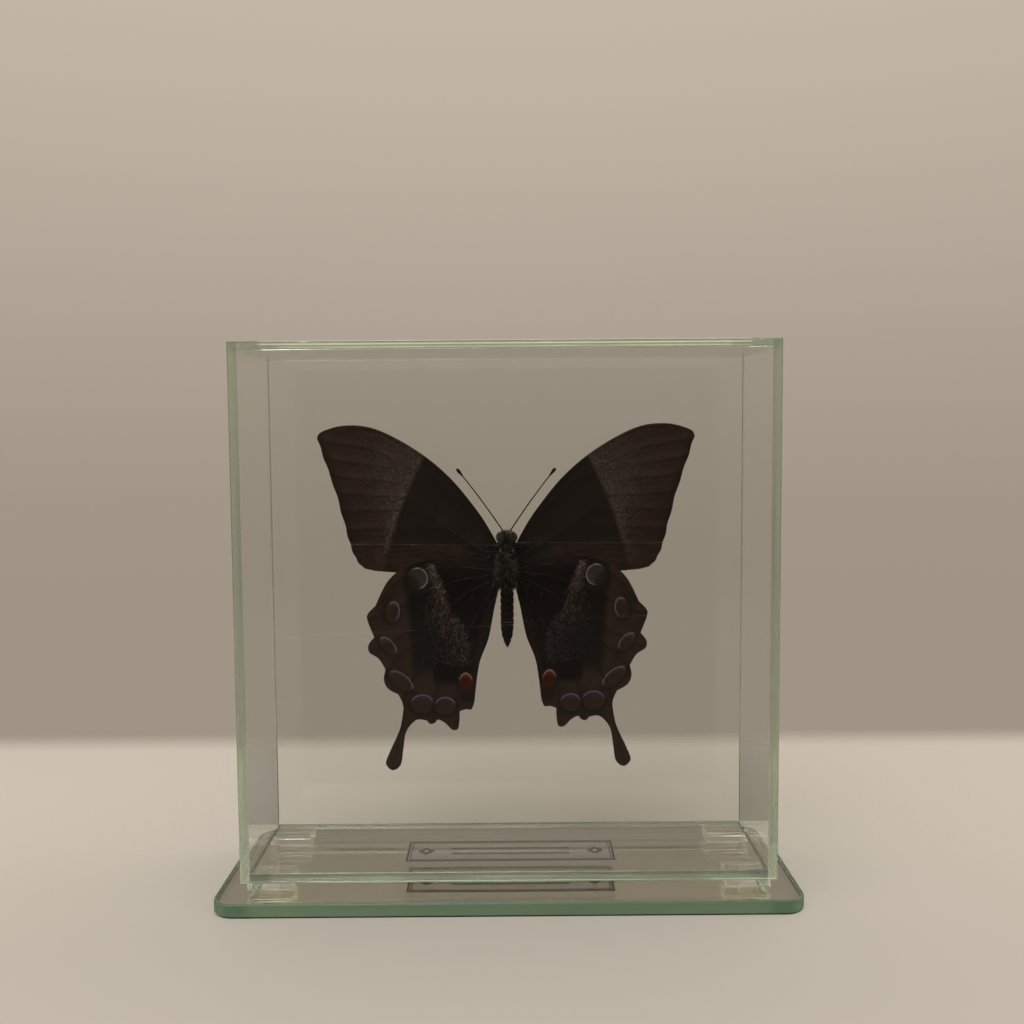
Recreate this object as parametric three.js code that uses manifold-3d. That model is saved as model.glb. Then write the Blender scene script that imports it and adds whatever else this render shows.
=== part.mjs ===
// Glass display case with a mounted swallowtail butterfly, on a mirror base plate.
// Millimetres, +Z up. The origin is the middle of the base plate's underside.
// The wings' undersides face -Y, the back of the case. Their upper sides face +Y, its front.

import * as THREE from 'three';
import Module from 'manifold-3d';
import { mergeVertices } from 'three/addons/utils/BufferGeometryUtils.js';

const wasm = await Module();
wasm.setup();

// Base plate: 4 mm mirror with ground edges.
const BASE_WIDTH = 164;
const BASE_DEPTH = 56;
const BASE_THICKNESS = 4;
const BASE_CORNER_RADIUS = 6;
const BASE_CHAMFER = 0.5;

// Case: a closed box of six glued panes.
const CASE_WIDTH = 150;
const CASE_DEPTH = 42;
const CASE_HEIGHT = 150;
const CASE_BACK_Y = -21.5;
const PANE = 2.3;
const PANE_CHAMFER = 0.2;
const GLUE_LINE = 0.1;

// Clear pads that carry the case, one near each corner.
const PAD_WIDTH = 12.8;
const PAD_DEPTH = 7.7;
const PAD_THICKNESS = 3;
const PAD_CHAMFER = 0.2;
const PAD_X = 67.3;
const PAD_BACK_Y = -15.3;
const PAD_FRONT_Y = 13.7;

// Label: a clear card under the floor pane.
const LABEL_WIDTH = 66.5;
const LABEL_DEPTH = 19.3;
const LABEL_THICKNESS = 0.25;
const LABEL_X = 0.2;
const LABEL_Y = -2.9;

// Butterfly. BODY_Z is the height of the middle of the thorax, between the wing roots.
const BODY_Y = -1.5;
const BODY_Z = 94.9;
const SURFACE_GAP = 0.3;
const THORAX_RADII = [3.4, 3.5, 6.6];
const THORAX_Z = -2.1;
const HEAD_RADII = [2.4, 2.4, 2.1];
const HEAD_Z = 6.85;
const EYE_RADIUS = 1.5;
const EYE_X = 1.75;
const EYE_Y = -0.2;
const ABDOMEN_TOP = -9.1;
const ABDOMEN_LENGTH = 16.4;
const ABDOMEN_RADIUS = 2.1;

// Wings: thin blades. The hindwing lies on the forewing's underside.
const WING_THICKNESS = 0.3;
const FOREWING_Y = 1.2;
const HINDWING_Y = 0.5;
const HINDWING_SHIFT = 0.4;

// Antennae, from the crown of the head to the clubs.
const ANTENNA_ROOT = [1.0, -0.2, 9.25];
const ANTENNA_BEND = [7.2, 0.0, 18.2];
const ANTENNA_TIP = [13.3, 0.3, 25.6];
const ANTENNA_RADIUS = 0.17;
const CLUB_LENGTH = 2.8;
const CLUB_RADIUS = 0.42;

// Legs, folded flat over the underside of the thorax.
const LEG_RADIUS = 0.24;
const LEG_CLEARANCE = 0.6;

// Nylon lines between the side panes, each with one turn round the body.
const LINE_RADIUS = 0.08;
const LINE_CLEARANCE = 0.35;
const LINE_SIDES = 4;
const TURN_PITCH = 0.75;
const TURN_STEPS = 24;
const NECK_LINE = { node: 'neck_line', z: 4.75, radius: 1.5, left: 1.0, right: -0.6 };
const ABDOMEN_LINE = { node: 'abdomen_line', z: -18.6, radius: 2.1, left: -3.6, right: 3.2 };

const CURVE_STEPS = 10;
const BODY_SIDES = 24;

const caseBottom = BASE_THICKNESS + PAD_THICKNESS;
const caseFrontY = CASE_BACK_Y + CASE_DEPTH;
const caseMiddleY = CASE_BACK_Y + CASE_DEPTH / 2;

const mirrorGlass = { color: 0x5c6c52, roughness: 0.05, metalness: 0.6 };
const clearGlass = { color: 0xc4cdb8, roughness: 0.05, metalness: 0, transparent: true, opacity: 0.35 };
const clearFilm = { color: 0xa8a89a, roughness: 0.25, metalness: 0 };
const wingScales = { color: 0x2b211b, roughness: 0.75, metalness: 0 };
const bodyHair = { color: 0x2a2823, roughness: 0.9, metalness: 0 };
const horn = { color: 0x1c1713, roughness: 0.4, metalness: 0 };
const nylon = { color: 0xd8d6cc, roughness: 0.2, metalness: 0 };

const caseAndButterfly = new THREE.Group();

function addPiece(name, geometry, finish, parent = caseAndButterfly) {
  const piece = new THREE.Mesh(geometry, new THREE.MeshStandardMaterial(finish));
  piece.name = name;
  parent.add(piece);
  return piece;
}

// ---------------------------------------------------------------- solids

function toManifold(geometry) {
  const bare = geometry.clone();
  bare.deleteAttribute('normal');
  bare.deleteAttribute('uv');
  const merged = mergeVertices(bare, 1e-4);
  return new wasm.Manifold(new wasm.Mesh({
    numProp: 3,
    vertProperties: new Float32Array(merged.attributes.position.array),
    triVerts: new Uint32Array(merged.index.array),
  }));
}

function fromManifold(solid) {
  const mesh = solid.getMesh();
  const geometry = new THREE.BufferGeometry();
  geometry.setAttribute('position', new THREE.BufferAttribute(mesh.vertProperties, 3));
  geometry.setIndex(new THREE.BufferAttribute(mesh.triVerts, 1));
  geometry.computeVertexNormals();
  return geometry;
}

function rectangle(width, height, radius = 0) {
  const x = width / 2;
  const y = height / 2;
  const shape = new THREE.Shape();
  if (radius === 0) {
    shape.moveTo(-x, -y).lineTo(x, -y).lineTo(x, y).lineTo(-x, y);
    return shape;
  }
  shape.moveTo(-x + radius, -y).lineTo(x - radius, -y);
  shape.absarc(x - radius, -y + radius, radius, -Math.PI / 2, 0);
  shape.lineTo(x, y - radius);
  shape.absarc(x - radius, y - radius, radius, 0, Math.PI / 2);
  shape.lineTo(-x + radius, y);
  shape.absarc(-x + radius, y - radius, radius, Math.PI / 2, Math.PI);
  shape.lineTo(-x, -y + radius);
  shape.absarc(-x + radius, -y + radius, radius, Math.PI, 1.5 * Math.PI);
  return shape;
}

// A flat plate from an outline, its middle plane at z = 0, with a chamfer on every edge.
function plate(shape, thickness, chamfer = 0) {
  const geometry = new THREE.ExtrudeGeometry(shape, {
    depth: thickness - 2 * chamfer,
    bevelEnabled: chamfer > 0,
    bevelThickness: chamfer,
    bevelSize: chamfer,
    bevelOffset: -chamfer,
    bevelSegments: 1,
    curveSegments: CURVE_STEPS,
  });
  return geometry.translate(0, 0, chamfer - thickness / 2);
}

function ellipsoid([x, y, z], sides = BODY_SIDES) {
  return new THREE.SphereGeometry(1, sides, sides / 2).rotateX(Math.PI / 2).scale(x, y, z);
}

function rod(curve, radius, steps, sides = 8) {
  const section = new THREE.Shape().absarc(0, 0, radius, 0, 2 * Math.PI);
  return new THREE.ExtrudeGeometry(section, {
    steps,
    curveSegments: sides,
    bevelEnabled: false,
    extrudePath: curve,
  });
}

// ---------------------------------------------------------------- base plate and pads

addPiece(
  'base_plate',
  plate(rectangle(BASE_WIDTH, BASE_DEPTH, BASE_CORNER_RADIUS), BASE_THICKNESS, BASE_CHAMFER),
  mirrorGlass,
).position.z = BASE_THICKNESS / 2;

for (const [side, x] of [['left', -PAD_X], ['right', PAD_X]]) {
  for (const [end, y] of [['back', PAD_BACK_Y], ['front', PAD_FRONT_Y]]) {
    const solid = plate(rectangle(PAD_WIDTH, PAD_DEPTH), PAD_THICKNESS - 2 * GLUE_LINE, PAD_CHAMFER);
    const pad = addPiece(`${end}_${side}_pad`, solid, clearGlass);
    pad.position.set(x, y, BASE_THICKNESS + PAD_THICKNESS / 2);
  }
}

// ---------------------------------------------------------------- glass case

const glassCase = new THREE.Group();
glassCase.position.set(0, caseMiddleY, caseBottom + CASE_HEIGHT / 2);
caseAndButterfly.add(glassCase);

const innerWidth = CASE_WIDTH - 2 * (PANE + GLUE_LINE);
const innerDepth = CASE_DEPTH - 2 * (PANE + GLUE_LINE);

for (const [name, side] of [['back_pane', -1], ['front_pane', 1]]) {
  const solid = plate(rectangle(CASE_WIDTH, CASE_HEIGHT), PANE, PANE_CHAMFER).rotateX(Math.PI / 2);
  addPiece(name, solid, clearGlass, glassCase).position.y = side * (CASE_DEPTH - PANE) / 2;
}
for (const [name, side] of [['left_pane', -1], ['right_pane', 1]]) {
  const solid = plate(rectangle(CASE_HEIGHT, innerDepth), PANE, PANE_CHAMFER).rotateY(Math.PI / 2);
  addPiece(name, solid, clearGlass, glassCase).position.x = side * (CASE_WIDTH - PANE) / 2;
}
for (const [name, side] of [['floor_pane', -1], ['top_pane', 1]]) {
  const solid = plate(rectangle(innerWidth, innerDepth), PANE, PANE_CHAMFER);
  addPiece(name, solid, clearGlass, glassCase).position.z = side * (CASE_HEIGHT - PANE) / 2;
}

// ---------------------------------------------------------------- label

const label = addPiece('label', plate(rectangle(LABEL_WIDTH, LABEL_DEPTH), LABEL_THICKNESS), clearFilm);
label.position.set(LABEL_X, LABEL_Y, caseBottom - GLUE_LINE - LABEL_THICKNESS / 2);

// ---------------------------------------------------------------- wings

const butterfly = new THREE.Group();
butterfly.position.set(0, 0, BODY_Z);
caseAndButterfly.add(butterfly);

// Outlines of the right wings as [outward, up] from the middle of the thorax.
// Each list is one smooth run; runs meet in corners.
const FOREWING = [
  // front edge, root to apex
  [[3.5, 5.6], [8.4, 14.3], [16.7, 24.5], [26.6, 32.6], [38.1, 38.6], [47.0, 39.7], [53.9, 37.9], [55.3, 35.9]],
  // outer edge, apex to the rear corner
  [[55.3, 35.9], [53.2, 29.4], [50.2, 20.3], [47.7, 10.8], [46.1, 4.5], [44.3, 0.1], [42.2, -2.2], [39.0, -3.1]],
  // rear edge, under the hindwing, back to the root
  [[39.0, -3.1], [28.0, -4.0], [15.0, -5.2], [4.2, -5.4]],
];
const HINDWING = [
  // front edge, root to the shoulder
  [[3.9, -1.8], [12.0, 0.2], [22.0, 0.6], [30.0, -1.6], [35.2, -5.8], [38.9, -13.0]],
  // first and second lobes
  [[38.9, -13.0], [41.3, -15.6], [41.1, -18.0], [39.4, -22.4]],
  [[39.4, -22.4], [41.1, -24.6], [40.9, -26.9], [38.2, -28.8], [36.2, -32.0]],
  // third lobe and the outer side of the tail
  [[36.2, -32.0], [36.7, -35.0], [35.6, -37.7], [32.4, -39.6]],
  [[32.4, -39.6], [31.0, -43.5], [32.0, -49.5], [35.2, -56.7], [36.4, -60.3], [34.4, -62.3], [32.0, -60.6],
    [31.2, -56.0], [30.2, -50.6], [27.2, -47.2], [24.0, -47.4]],
  // scallops between the tail and the rear corner
  [[24.0, -47.4], [23.2, -48.3], [21.8, -48.1], [20.7, -47.1], [18.6, -48.2], [16.6, -50.1], [14.9, -49.9],
    [14.4, -47.4], [14.3, -44.6]],
  [[14.3, -44.6], [12.4, -44.0], [10.8, -44.0], [9.9, -41.8]],
  // inner edge, back along the abdomen to the root
  [[9.9, -41.8], [8.4, -30.6], [5.9, -23.0], [4.2, -14.0], [3.9, -8.6]],
];

function wingShape(runs, side) {
  const points = runs.map((run) => run.map(([out, up]) => new THREE.Vector2(side * out, up)));
  const shape = new THREE.Shape();
  shape.moveTo(points[0][0].x, points[0][0].y);
  for (const run of points) {
    shape.splineThru(run.slice(1));
  }
  return shape;
}

function wing(runs, side) {
  const solid = new THREE.ExtrudeGeometry(wingShape(runs, side), {
    depth: WING_THICKNESS,
    bevelEnabled: false,
    curveSegments: 3,
  });
  return solid.rotateX(Math.PI / 2);
}

for (const [name, side] of [['left', -1], ['right', 1]]) {
  addPiece(`${name}_forewing`, wing(FOREWING, side), wingScales, butterfly).position.y = FOREWING_Y;
  const hindwing = addPiece(`${name}_hindwing`, wing(HINDWING, side), wingScales, butterfly);
  hindwing.position.set(0, HINDWING_Y, side * HINDWING_SHIFT);
}

// ---------------------------------------------------------------- body

const body = new THREE.Group();
body.position.y = BODY_Y;
butterfly.add(body);

addPiece('thorax', ellipsoid(THORAX_RADII), bodyHair, body).position.z = THORAX_Z;

let headSolid = toManifold(ellipsoid(HEAD_RADII));
for (const [name, side] of [['left', -1], ['right', 1]]) {
  addPiece(`${name}_eye`, ellipsoid([EYE_RADIUS, EYE_RADIUS, EYE_RADIUS], 16), horn, body)
    .position.set(side * EYE_X, EYE_Y, HEAD_Z);
  const socketRadius = EYE_RADIUS + GLUE_LINE;
  const socket = ellipsoid([socketRadius, socketRadius, socketRadius], 16).translate(side * EYE_X, EYE_Y, 0);
  headSolid = headSolid.subtract(toManifold(socket));
}
addPiece('head', fromManifold(headSolid), bodyHair, body).position.z = HEAD_Z;

// The abdomen is turned about its own length: a neck at the waist, widest at
// three quarters of the way down, and a blunt tip.
const ABDOMEN_PROFILE = [[0, 0], [0.55, 0], [0.9, 0.08], [0.95, 0.3], [1, 0.62], [0.86, 0.8], [0.5, 0.94], [0, 1]];
const abdomenOutline = ABDOMEN_PROFILE.map(
  ([across, along]) => new THREE.Vector2(across * ABDOMEN_RADIUS, ABDOMEN_TOP - along * ABDOMEN_LENGTH),
);
const abdomen = new THREE.LatheGeometry(abdomenOutline.reverse(), BODY_SIDES).rotateX(Math.PI / 2);
addPiece('abdomen', abdomen, bodyHair, body);

// ---------------------------------------------------------------- antennae

function antenna(side) {
  const [root, bend, tip] = [ANTENNA_ROOT, ANTENNA_BEND, ANTENNA_TIP].map(
    ([x, y, z]) => new THREE.Vector3(side * x, y, z),
  );
  const shaft = new THREE.QuadraticBezierCurve3(root, bend, tip);
  const clubOutline = [[0, 0], [0.45, 0.04], [0.8, 0.4], [1, 0.75], [0.7, 0.94], [0, 1]].map(
    ([across, along]) => new THREE.Vector2(across * CLUB_RADIUS, (along - 0.25) * CLUB_LENGTH),
  );
  const club = new THREE.LatheGeometry(clubOutline, 10);
  const direction = shaft.getTangent(1);
  club.applyQuaternion(new THREE.Quaternion().setFromUnitVectors(new THREE.Vector3(0, 1, 0), direction));
  club.translate(tip.x, tip.y, tip.z);
  return fromManifold(toManifold(rod(shaft, ANTENNA_RADIUS, 12)).add(toManifold(club)));
}

for (const [name, side] of [['left', -1], ['right', 1]]) {
  addPiece(`${name}_antenna`, antenna(side), horn, body);
}

// ---------------------------------------------------------------- legs

// Each leg runs from its root near the middle line to the knee and back to the foot.
const LEGS = [
  { pair: 'fore', root: [0.6, 1.6], knee: [2.3, 2.6], foot: [1.6, 6.0], lift: 0 },
  { pair: 'middle', root: [0.7, -1.2], knee: [2.6, -3.4], foot: [1.5, -7.4], lift: 0 },
  { pair: 'hind', root: [0.5, -3.4], knee: [1.3, -6.2], foot: [0.5, -10.6], lift: 0.2 },
];

function leg({ root, knee, foot, lift }, side) {
  const y = -THORAX_RADII[1] - LEG_CLEARANCE - lift;
  const [a, b, c] = [root, knee, foot].map(([x, z]) => new THREE.Vector3(side * x, y, z));
  const bend = new THREE.QuadraticBezierCurve3(a.clone().lerp(b, 0.85), b, b.clone().lerp(c, 0.15));
  const path = new THREE.CatmullRomCurve3([a, a.clone().lerp(b, 0.6), ...bend.getPoints(3), c]);
  return rod(path, LEG_RADIUS, 12, 6);
}

for (const [name, side] of [['left', -1], ['right', 1]]) {
  for (const shape of LEGS) {
    addPiece(`${name}_${shape.pair}_leg`, leg(shape, side), horn, body);
  }
}

// ---------------------------------------------------------------- nylon lines

// A line comes from the left pane, goes once round the body and on to the right pane.
function line({ z, radius, left, right }) {
  const reach = CASE_WIDTH / 2 - PANE - SURFACE_GAP;
  const turnRadius = radius + LINE_CLEARANCE;
  const turnPoints = Array.from({ length: TURN_STEPS + 1 }, (_, i) => {
    const angle = (2 * Math.PI * i) / TURN_STEPS;
    return new THREE.Vector3(
      turnRadius * Math.sin(angle),
      -turnRadius * Math.cos(angle),
      z + (TURN_PITCH * i) / TURN_STEPS,
    );
  });
  const turn = new THREE.CatmullRomCurve3(turnPoints);
  const leftEnd = new THREE.Vector3(-reach, -turnRadius, z + left);
  const rightEnd = new THREE.Vector3(reach, -turnRadius, z + TURN_PITCH + right);
  const strands = [
    new THREE.LineCurve3(leftEnd, turnPoints[0]),
    new THREE.LineCurve3(turnPoints[TURN_STEPS], rightEnd),
  ];
  let solid = toManifold(rod(turn, LINE_RADIUS, TURN_STEPS, LINE_SIDES));
  for (const strand of strands) {
    solid = solid.add(toManifold(rod(strand, LINE_RADIUS, 1, LINE_SIDES)));
  }
  return fromManifold(solid);
}

for (const shape of [NECK_LINE, ABDOMEN_LINE]) {
  addPiece(shape.node, line(shape), nylon, body);
}

export default caseAndButterfly;
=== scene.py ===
# %% [markdown]
# # A butterfly in a glass case
#
# A closed glass box stands on four clear pads on a mirror plate. Inside it a tailed
# butterfly is held, wings spread, by two nylon lines. The construction comes as a fixed
# frame of solids. This lesson dresses it: clear glass that is green only along its edges,
# a mirror that is silvered underneath, wings with their markings, and hair.
#
# The frame is in metres with +Z up. The wings' undersides face -Y, their upper sides +Y.

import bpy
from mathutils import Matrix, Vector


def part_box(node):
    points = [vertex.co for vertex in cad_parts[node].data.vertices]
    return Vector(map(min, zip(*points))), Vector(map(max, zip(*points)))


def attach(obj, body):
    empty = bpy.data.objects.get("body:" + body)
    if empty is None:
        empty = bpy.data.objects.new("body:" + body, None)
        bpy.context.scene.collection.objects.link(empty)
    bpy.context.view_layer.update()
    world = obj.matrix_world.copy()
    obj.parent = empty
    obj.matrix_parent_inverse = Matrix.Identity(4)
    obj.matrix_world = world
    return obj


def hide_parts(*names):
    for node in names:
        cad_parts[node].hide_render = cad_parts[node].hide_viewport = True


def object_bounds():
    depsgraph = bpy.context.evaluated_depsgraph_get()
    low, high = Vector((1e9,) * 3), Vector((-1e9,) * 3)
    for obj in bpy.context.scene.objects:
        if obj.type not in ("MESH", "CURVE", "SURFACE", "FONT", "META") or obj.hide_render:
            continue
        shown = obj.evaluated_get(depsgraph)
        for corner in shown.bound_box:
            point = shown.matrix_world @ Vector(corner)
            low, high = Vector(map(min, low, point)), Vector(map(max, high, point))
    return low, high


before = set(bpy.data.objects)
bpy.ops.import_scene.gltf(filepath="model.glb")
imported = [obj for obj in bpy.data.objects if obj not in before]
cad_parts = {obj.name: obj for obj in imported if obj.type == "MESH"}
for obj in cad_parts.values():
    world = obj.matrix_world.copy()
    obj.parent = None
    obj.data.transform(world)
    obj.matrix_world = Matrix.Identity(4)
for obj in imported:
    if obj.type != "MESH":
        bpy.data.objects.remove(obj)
cad_low, cad_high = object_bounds()
print("frame:", len(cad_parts), "solids,", [round(v, 4) for v in cad_high - cad_low], "m")

# %% Tools of the trade
import math

import bpy
import numpy as np
from mathutils import Matrix, Vector

MM = 0.001

# %% [markdown]
# ## Camera
# The camera stands thirty centimetres in front of the case, above its middle, and looks down
# by a few degrees. It leans slightly, as a camera held by hand does.

# %% Camera
CAMERA_PLACE = Vector((1.34, -298.29, 129.52)) * MM
CAMERA_DOWN = math.radians(3.94)
CAMERA_TURN = math.radians(0.055)
CAMERA_LEAN = math.radians(0.414)
CAMERA_LENS = 35.86
CAMERA_SENSOR = 36.0
CAMERA_NEAREST = 0.01

bpy.ops.object.select_all(action="DESELECT")
bpy.ops.object.camera_add()
camera = bpy.context.object
camera.name = "camera"
camera.data.lens = CAMERA_LENS
camera.data.sensor_width = CAMERA_SENSOR
camera.data.clip_start = CAMERA_NEAREST
camera.matrix_world = (
    Matrix.Translation(CAMERA_PLACE)
    @ Matrix.Rotation(-CAMERA_TURN, 4, "Z")
    @ Matrix.Rotation(math.pi / 2 - CAMERA_DOWN, 4, "X")
    @ Matrix.Rotation(-CAMERA_LEAN, 4, "Z")
)
bpy.context.scene.camera = camera
print("camera:", round(camera.data.lens, 2), "mm lens at", [round(v, 3) for v in camera.location])

# %% [markdown]
# ## Shader maths
# A node tree is easier to read as arithmetic. `Value` wraps one output socket and turns
# `+ - * / **` into Math nodes, with the reflected forms, so that `1 - mask` works too.
# `Graph.node` makes every other node: its type, its settings, then its sockets.

# %% Sockets as numbers


class Value:
    """An output socket that can be used in arithmetic."""

    def __init__(self, graph, socket):
        self.graph = graph
        self.socket = socket

    def math(self, operation, *inputs):
        return self.graph.node("Math", {"operation": operation}, dict(enumerate(inputs)))

    def __add__(self, other):
        return self.math("ADD", self, other)

    def __sub__(self, other):
        return self.math("SUBTRACT", self, other)

    def __rsub__(self, other):
        return self.math("SUBTRACT", other, self)

    def __mul__(self, other):
        return self.math("MULTIPLY", self, other)

    def __truediv__(self, other):
        return self.math("DIVIDE", self, other)

    def __pow__(self, other):
        return self.math("POWER", self, other)

    def __abs__(self):
        return self.math("ABSOLUTE", self)

    __radd__ = __add__
    __rmul__ = __mul__

    def least(self, other):
        return self.math("MINIMUM", self, other)

    def most(self, other):
        return self.math("MAXIMUM", self, other)

    def step(self, start, end):
        """0 before start, 1 after end, and smooth between them. start may lie after end."""
        sockets = {"Value": self, "From Min": start, "From Max": end}
        return self.graph.node("MapRange", {"interpolation_type": "SMOOTHSTEP"}, sockets)

    def band(self, rise, full, fade, end):
        """1 between full and fade, 0 before rise and after end, and smooth between them."""
        return self.step(rise, full) * self.step(end, fade)


class Graph:
    """The node tree of one material, with short ways to fill it."""

    def __init__(self, name, owner=None):
        self.owner = owner or bpy.data.materials.new(name)
        self.owner.use_nodes = True
        self.tree = self.owner.node_tree
        self.tree.nodes.clear()

    def node(self, kind, settings=None, sockets=None, output=0):
        made = self.tree.nodes.new("ShaderNode" + kind)
        for key, value in (settings or {}).items():
            setattr(made, key, value)
        for key, value in (sockets or {}).items():
            self.feed(made.inputs[key], value)
        return Value(self, made.outputs[output]) if made.outputs else None

    def feed(self, socket, value):
        if isinstance(value, Value):
            self.tree.links.new(value.socket, socket)
        elif isinstance(value, tuple) and socket.type == "RGBA":
            socket.default_value = (*value[:3], 1)
        else:
            socket.default_value = value

    def mix(self, first, second, share):
        """Colour first, with this share of colour second."""
        sockets = {0: share, 6: first, 7: second}
        return self.node("Mix", {"data_type": "RGBA"}, sockets, output=2)

    def place(self):
        """The point's own X, Y and Z on the piece, in millimetres."""
        spot = self.node("TexCoord", output="Object")
        scaled = self.node("VectorMath", {"operation": "SCALE"}, {0: spot, "Scale": 1 / MM})
        return [self.node("SeparateXYZ", sockets={0: scaled}, output=axis) for axis in "XYZ"]

    def point(self, x, y, z):
        return self.node("CombineXYZ", sockets={"X": x, "Y": y, "Z": z})

    def noise(self, point, scale, detail=2.0, roughness=0.5):
        sockets = {"Vector": point, "Scale": scale, "Detail": detail, "Roughness": roughness}
        return self.node("TexNoise", sockets=sockets)

    def finish(self, **sockets):
        """A Principled shader to the output. Socket names are written with _ for spaces."""
        named = {key.replace("_", " "): value for key, value in sockets.items()}
        shader = self.node("BsdfPrincipled", sockets=named)
        self.node("OutputMaterial", sockets={"Surface": shader})
        return self.owner


def srgb(red, green, blue):
    """A colour as a screen writes it, 0 to 255, in the linear values that sockets hold.

    The numbers in linear() are those of the sRGB standard.
    """
    def linear(value):
        value /= 255
        return value / 12.92 if value <= 0.04045 else ((value + 0.055) / 1.055) ** 2.4
    return tuple(linear(v) for v in (red, green, blue))


def dimmed(colour, share):
    """This share of a colour's light."""
    return tuple(share * v for v in colour)


# %% [markdown]
# ## Studio
# A small product is shot on a sheet of pale card under soft boxes. The card ends a hand's
# width behind the case, in a soft edge, and past it only the backdrop shows.
# Two soft boxes give the light: a large one overhead in front, a weaker one at the side.
#
# A pane of glass also mirrors a twelfth of whatever stands in front of it, and over dark
# wings that lies like a veil. On a real set the room behind the camera is darkened and a
# polarising filter is turned. Here the dark side of the room shows only to rays
# that have been mirrored once and run back past the camera. Rays that the base plate throws
# upward keep most of the pale studio, so that the plate still looks like a mirror.

# %% Studio
BACKDROP_LOW = srgb(159, 148, 134)
BACKDROP_HIGH = srgb(198, 185, 170)
BACKDROP_RISE = (-0.15, 0.5)
CARD = srgb(209, 204, 195)
CARD_SIDE = 0.9
CARD_FADE = 30.0
CARD_SIDE_FADE = 240.0
CARD_BACK = 138.0
CARD_FRONT = 360.0
CARD_MIDDLE = 90.0
CARD_NEAR_SHADE = 0.90
CARD_FAR_LIGHT = 1.05
FLECK_TONE = 0.9
FLECK_SHARE = 0.6
VEIL = 0.10
MIRRORED = 0.56
UPWARD = (0.15, 0.35)
PAST_CAMERA = (0.1, -0.2)
# Each soft box: its place and its side in metres, and its power in watts.
SOFT_BOXES = {
    "soft_box_above": ((-0.35, -0.55, 1.0), 0.9, 7.0),
    "soft_box_side": ((1.0, 0.2, 0.8), 0.7, 3.0),
}


def once_mirrored(graph):
    """1 for a ray that was mirrored exactly once. One that glass guides to its edge gives 0."""
    bounces = graph.node("LightPath", output="Glossy Depth")
    return bounces.math("COMPARE", bounces, 1.0, 0.5)


world = bpy.data.worlds.new("studio")
bpy.context.scene.world = world
sky = Graph("studio", world)
ray = sky.node("TexCoord", output="Generated")
depth = sky.node("SeparateXYZ", sockets={0: ray}, output="Y")
height = sky.node("SeparateXYZ", sockets={0: ray}, output="Z")
upward = height.step(*UPWARD)
behind_camera = depth.step(*PAST_CAMERA) * (1.0 - upward)
glow = 1.0 - behind_camera * (1.0 - VEIL) - upward * (1.0 - MIRRORED)
strength = 1.0 - once_mirrored(sky) * (1.0 - glow)
tone = sky.mix(BACKDROP_LOW, BACKDROP_HIGH, height.step(*BACKDROP_RISE))
air = sky.node("Background", sockets={"Color": tone, "Strength": strength})
sky.node("OutputWorld", sockets={"Surface": air})


def card_finish():
    """Card with painted light and shade: darker near the camera, brighter on the far side. It fades out
    where it ends.
    """
    graph = Graph("card")
    x, y, z = graph.place()
    back = y.step(CARD_BACK - CARD_FADE / 2, CARD_BACK + CARD_FADE / 2)
    front = y.step(-CARD_FRONT, -CARD_FRONT - CARD_SIDE_FADE)
    sides = abs(x).step(CARD_FRONT, CARD_FRONT + CARD_SIDE_FADE)
    fade = back.most(front).most(sides)
    flecks = graph.noise(graph.point(x, y, z), scale=0.8, detail=3.0)
    across = y.step(-CARD_MIDDLE, CARD_MIDDLE)
    # Painted light and shade: the card runs from darker near the camera to brighter on the far side.
    lit = graph.mix(dimmed(CARD, CARD_NEAR_SHADE), dimmed(CARD, CARD_FAR_LIGHT), across)
    tone = graph.mix(lit, dimmed(CARD, FLECK_TONE), flecks * FLECK_SHARE)
    tone = graph.mix(tone, dimmed(CARD, VEIL), once_mirrored(graph))
    paper = graph.node("BsdfDiffuse", sockets={"Color": tone})
    clear = graph.node("BsdfTransparent")
    surface = graph.node("MixShader", sockets={0: fade, 1: paper, 2: clear})
    graph.node("OutputMaterial", sockets={"Surface": surface})
    return graph.owner


bpy.ops.mesh.primitive_plane_add(size=2 * CARD_SIDE)
card = bpy.context.object
card.name = "card"
card.data.materials.append(card_finish())


def soft_box(name, place, size, power):
    """A square lamp that faces the case."""
    bpy.ops.object.light_add(type="AREA", location=place)
    lamp = bpy.context.object
    lamp.name = name
    lamp.data.size = size
    lamp.data.energy = power
    target = (cad_low + cad_high) / 2
    lamp.rotation_euler = (target - lamp.location).to_track_quat("-Z", "Y").to_euler()


for name, (place_at, size, power) in SOFT_BOXES.items():
    soft_box(name, place_at, size, power)
print("studio:", len(bpy.data.lights), "soft boxes")

# %% [markdown]
# ## Glass
# Float glass looks clear through its faces, because light crosses only two millimetres.
# Along an edge it comes through ten centimetres, and the iron in the glass turns it green.
# So the material is clear glass with a little absorption in its volume. Lamps have to reach
# the butterfly inside, so rays that look for a lamp pass.
#
# The panes' edges are ground, not polished. There the glass is a little rough and scatters a
# share of the light in a tone of its own. At the foot of the case that tone is dark and its share
# larger: painted shade, for the plate's shade that the edge stands in. Light that enters the top
# pane's faces leaves through its front edge in two bright lines. With caustics off the renderer
# can't follow such light, so the two lines are a faint glow of the ground edge, drawn by a mask.

# %% Glass
GLASS_IOR = 1.52
GLASS_TONE = (0.965, 0.96, 0.95)
GLASS_GREEN = (0.555, 0.764, 0.557)
GLASS_DENSITY = 14.0
LAMP_TINT = (0.965, 0.975, 0.965)
SPECK_STEP = (0.72, 0.78)
PANE_SPECKS = 0.15
PANE_SATIN = 0.16
GROUND_FROM = 0.08
GROUND_FULL = 0.02
EDGE_TONE = (0.92, 0.89, 0.74)
EDGE_BLOOM = 0.1
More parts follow.
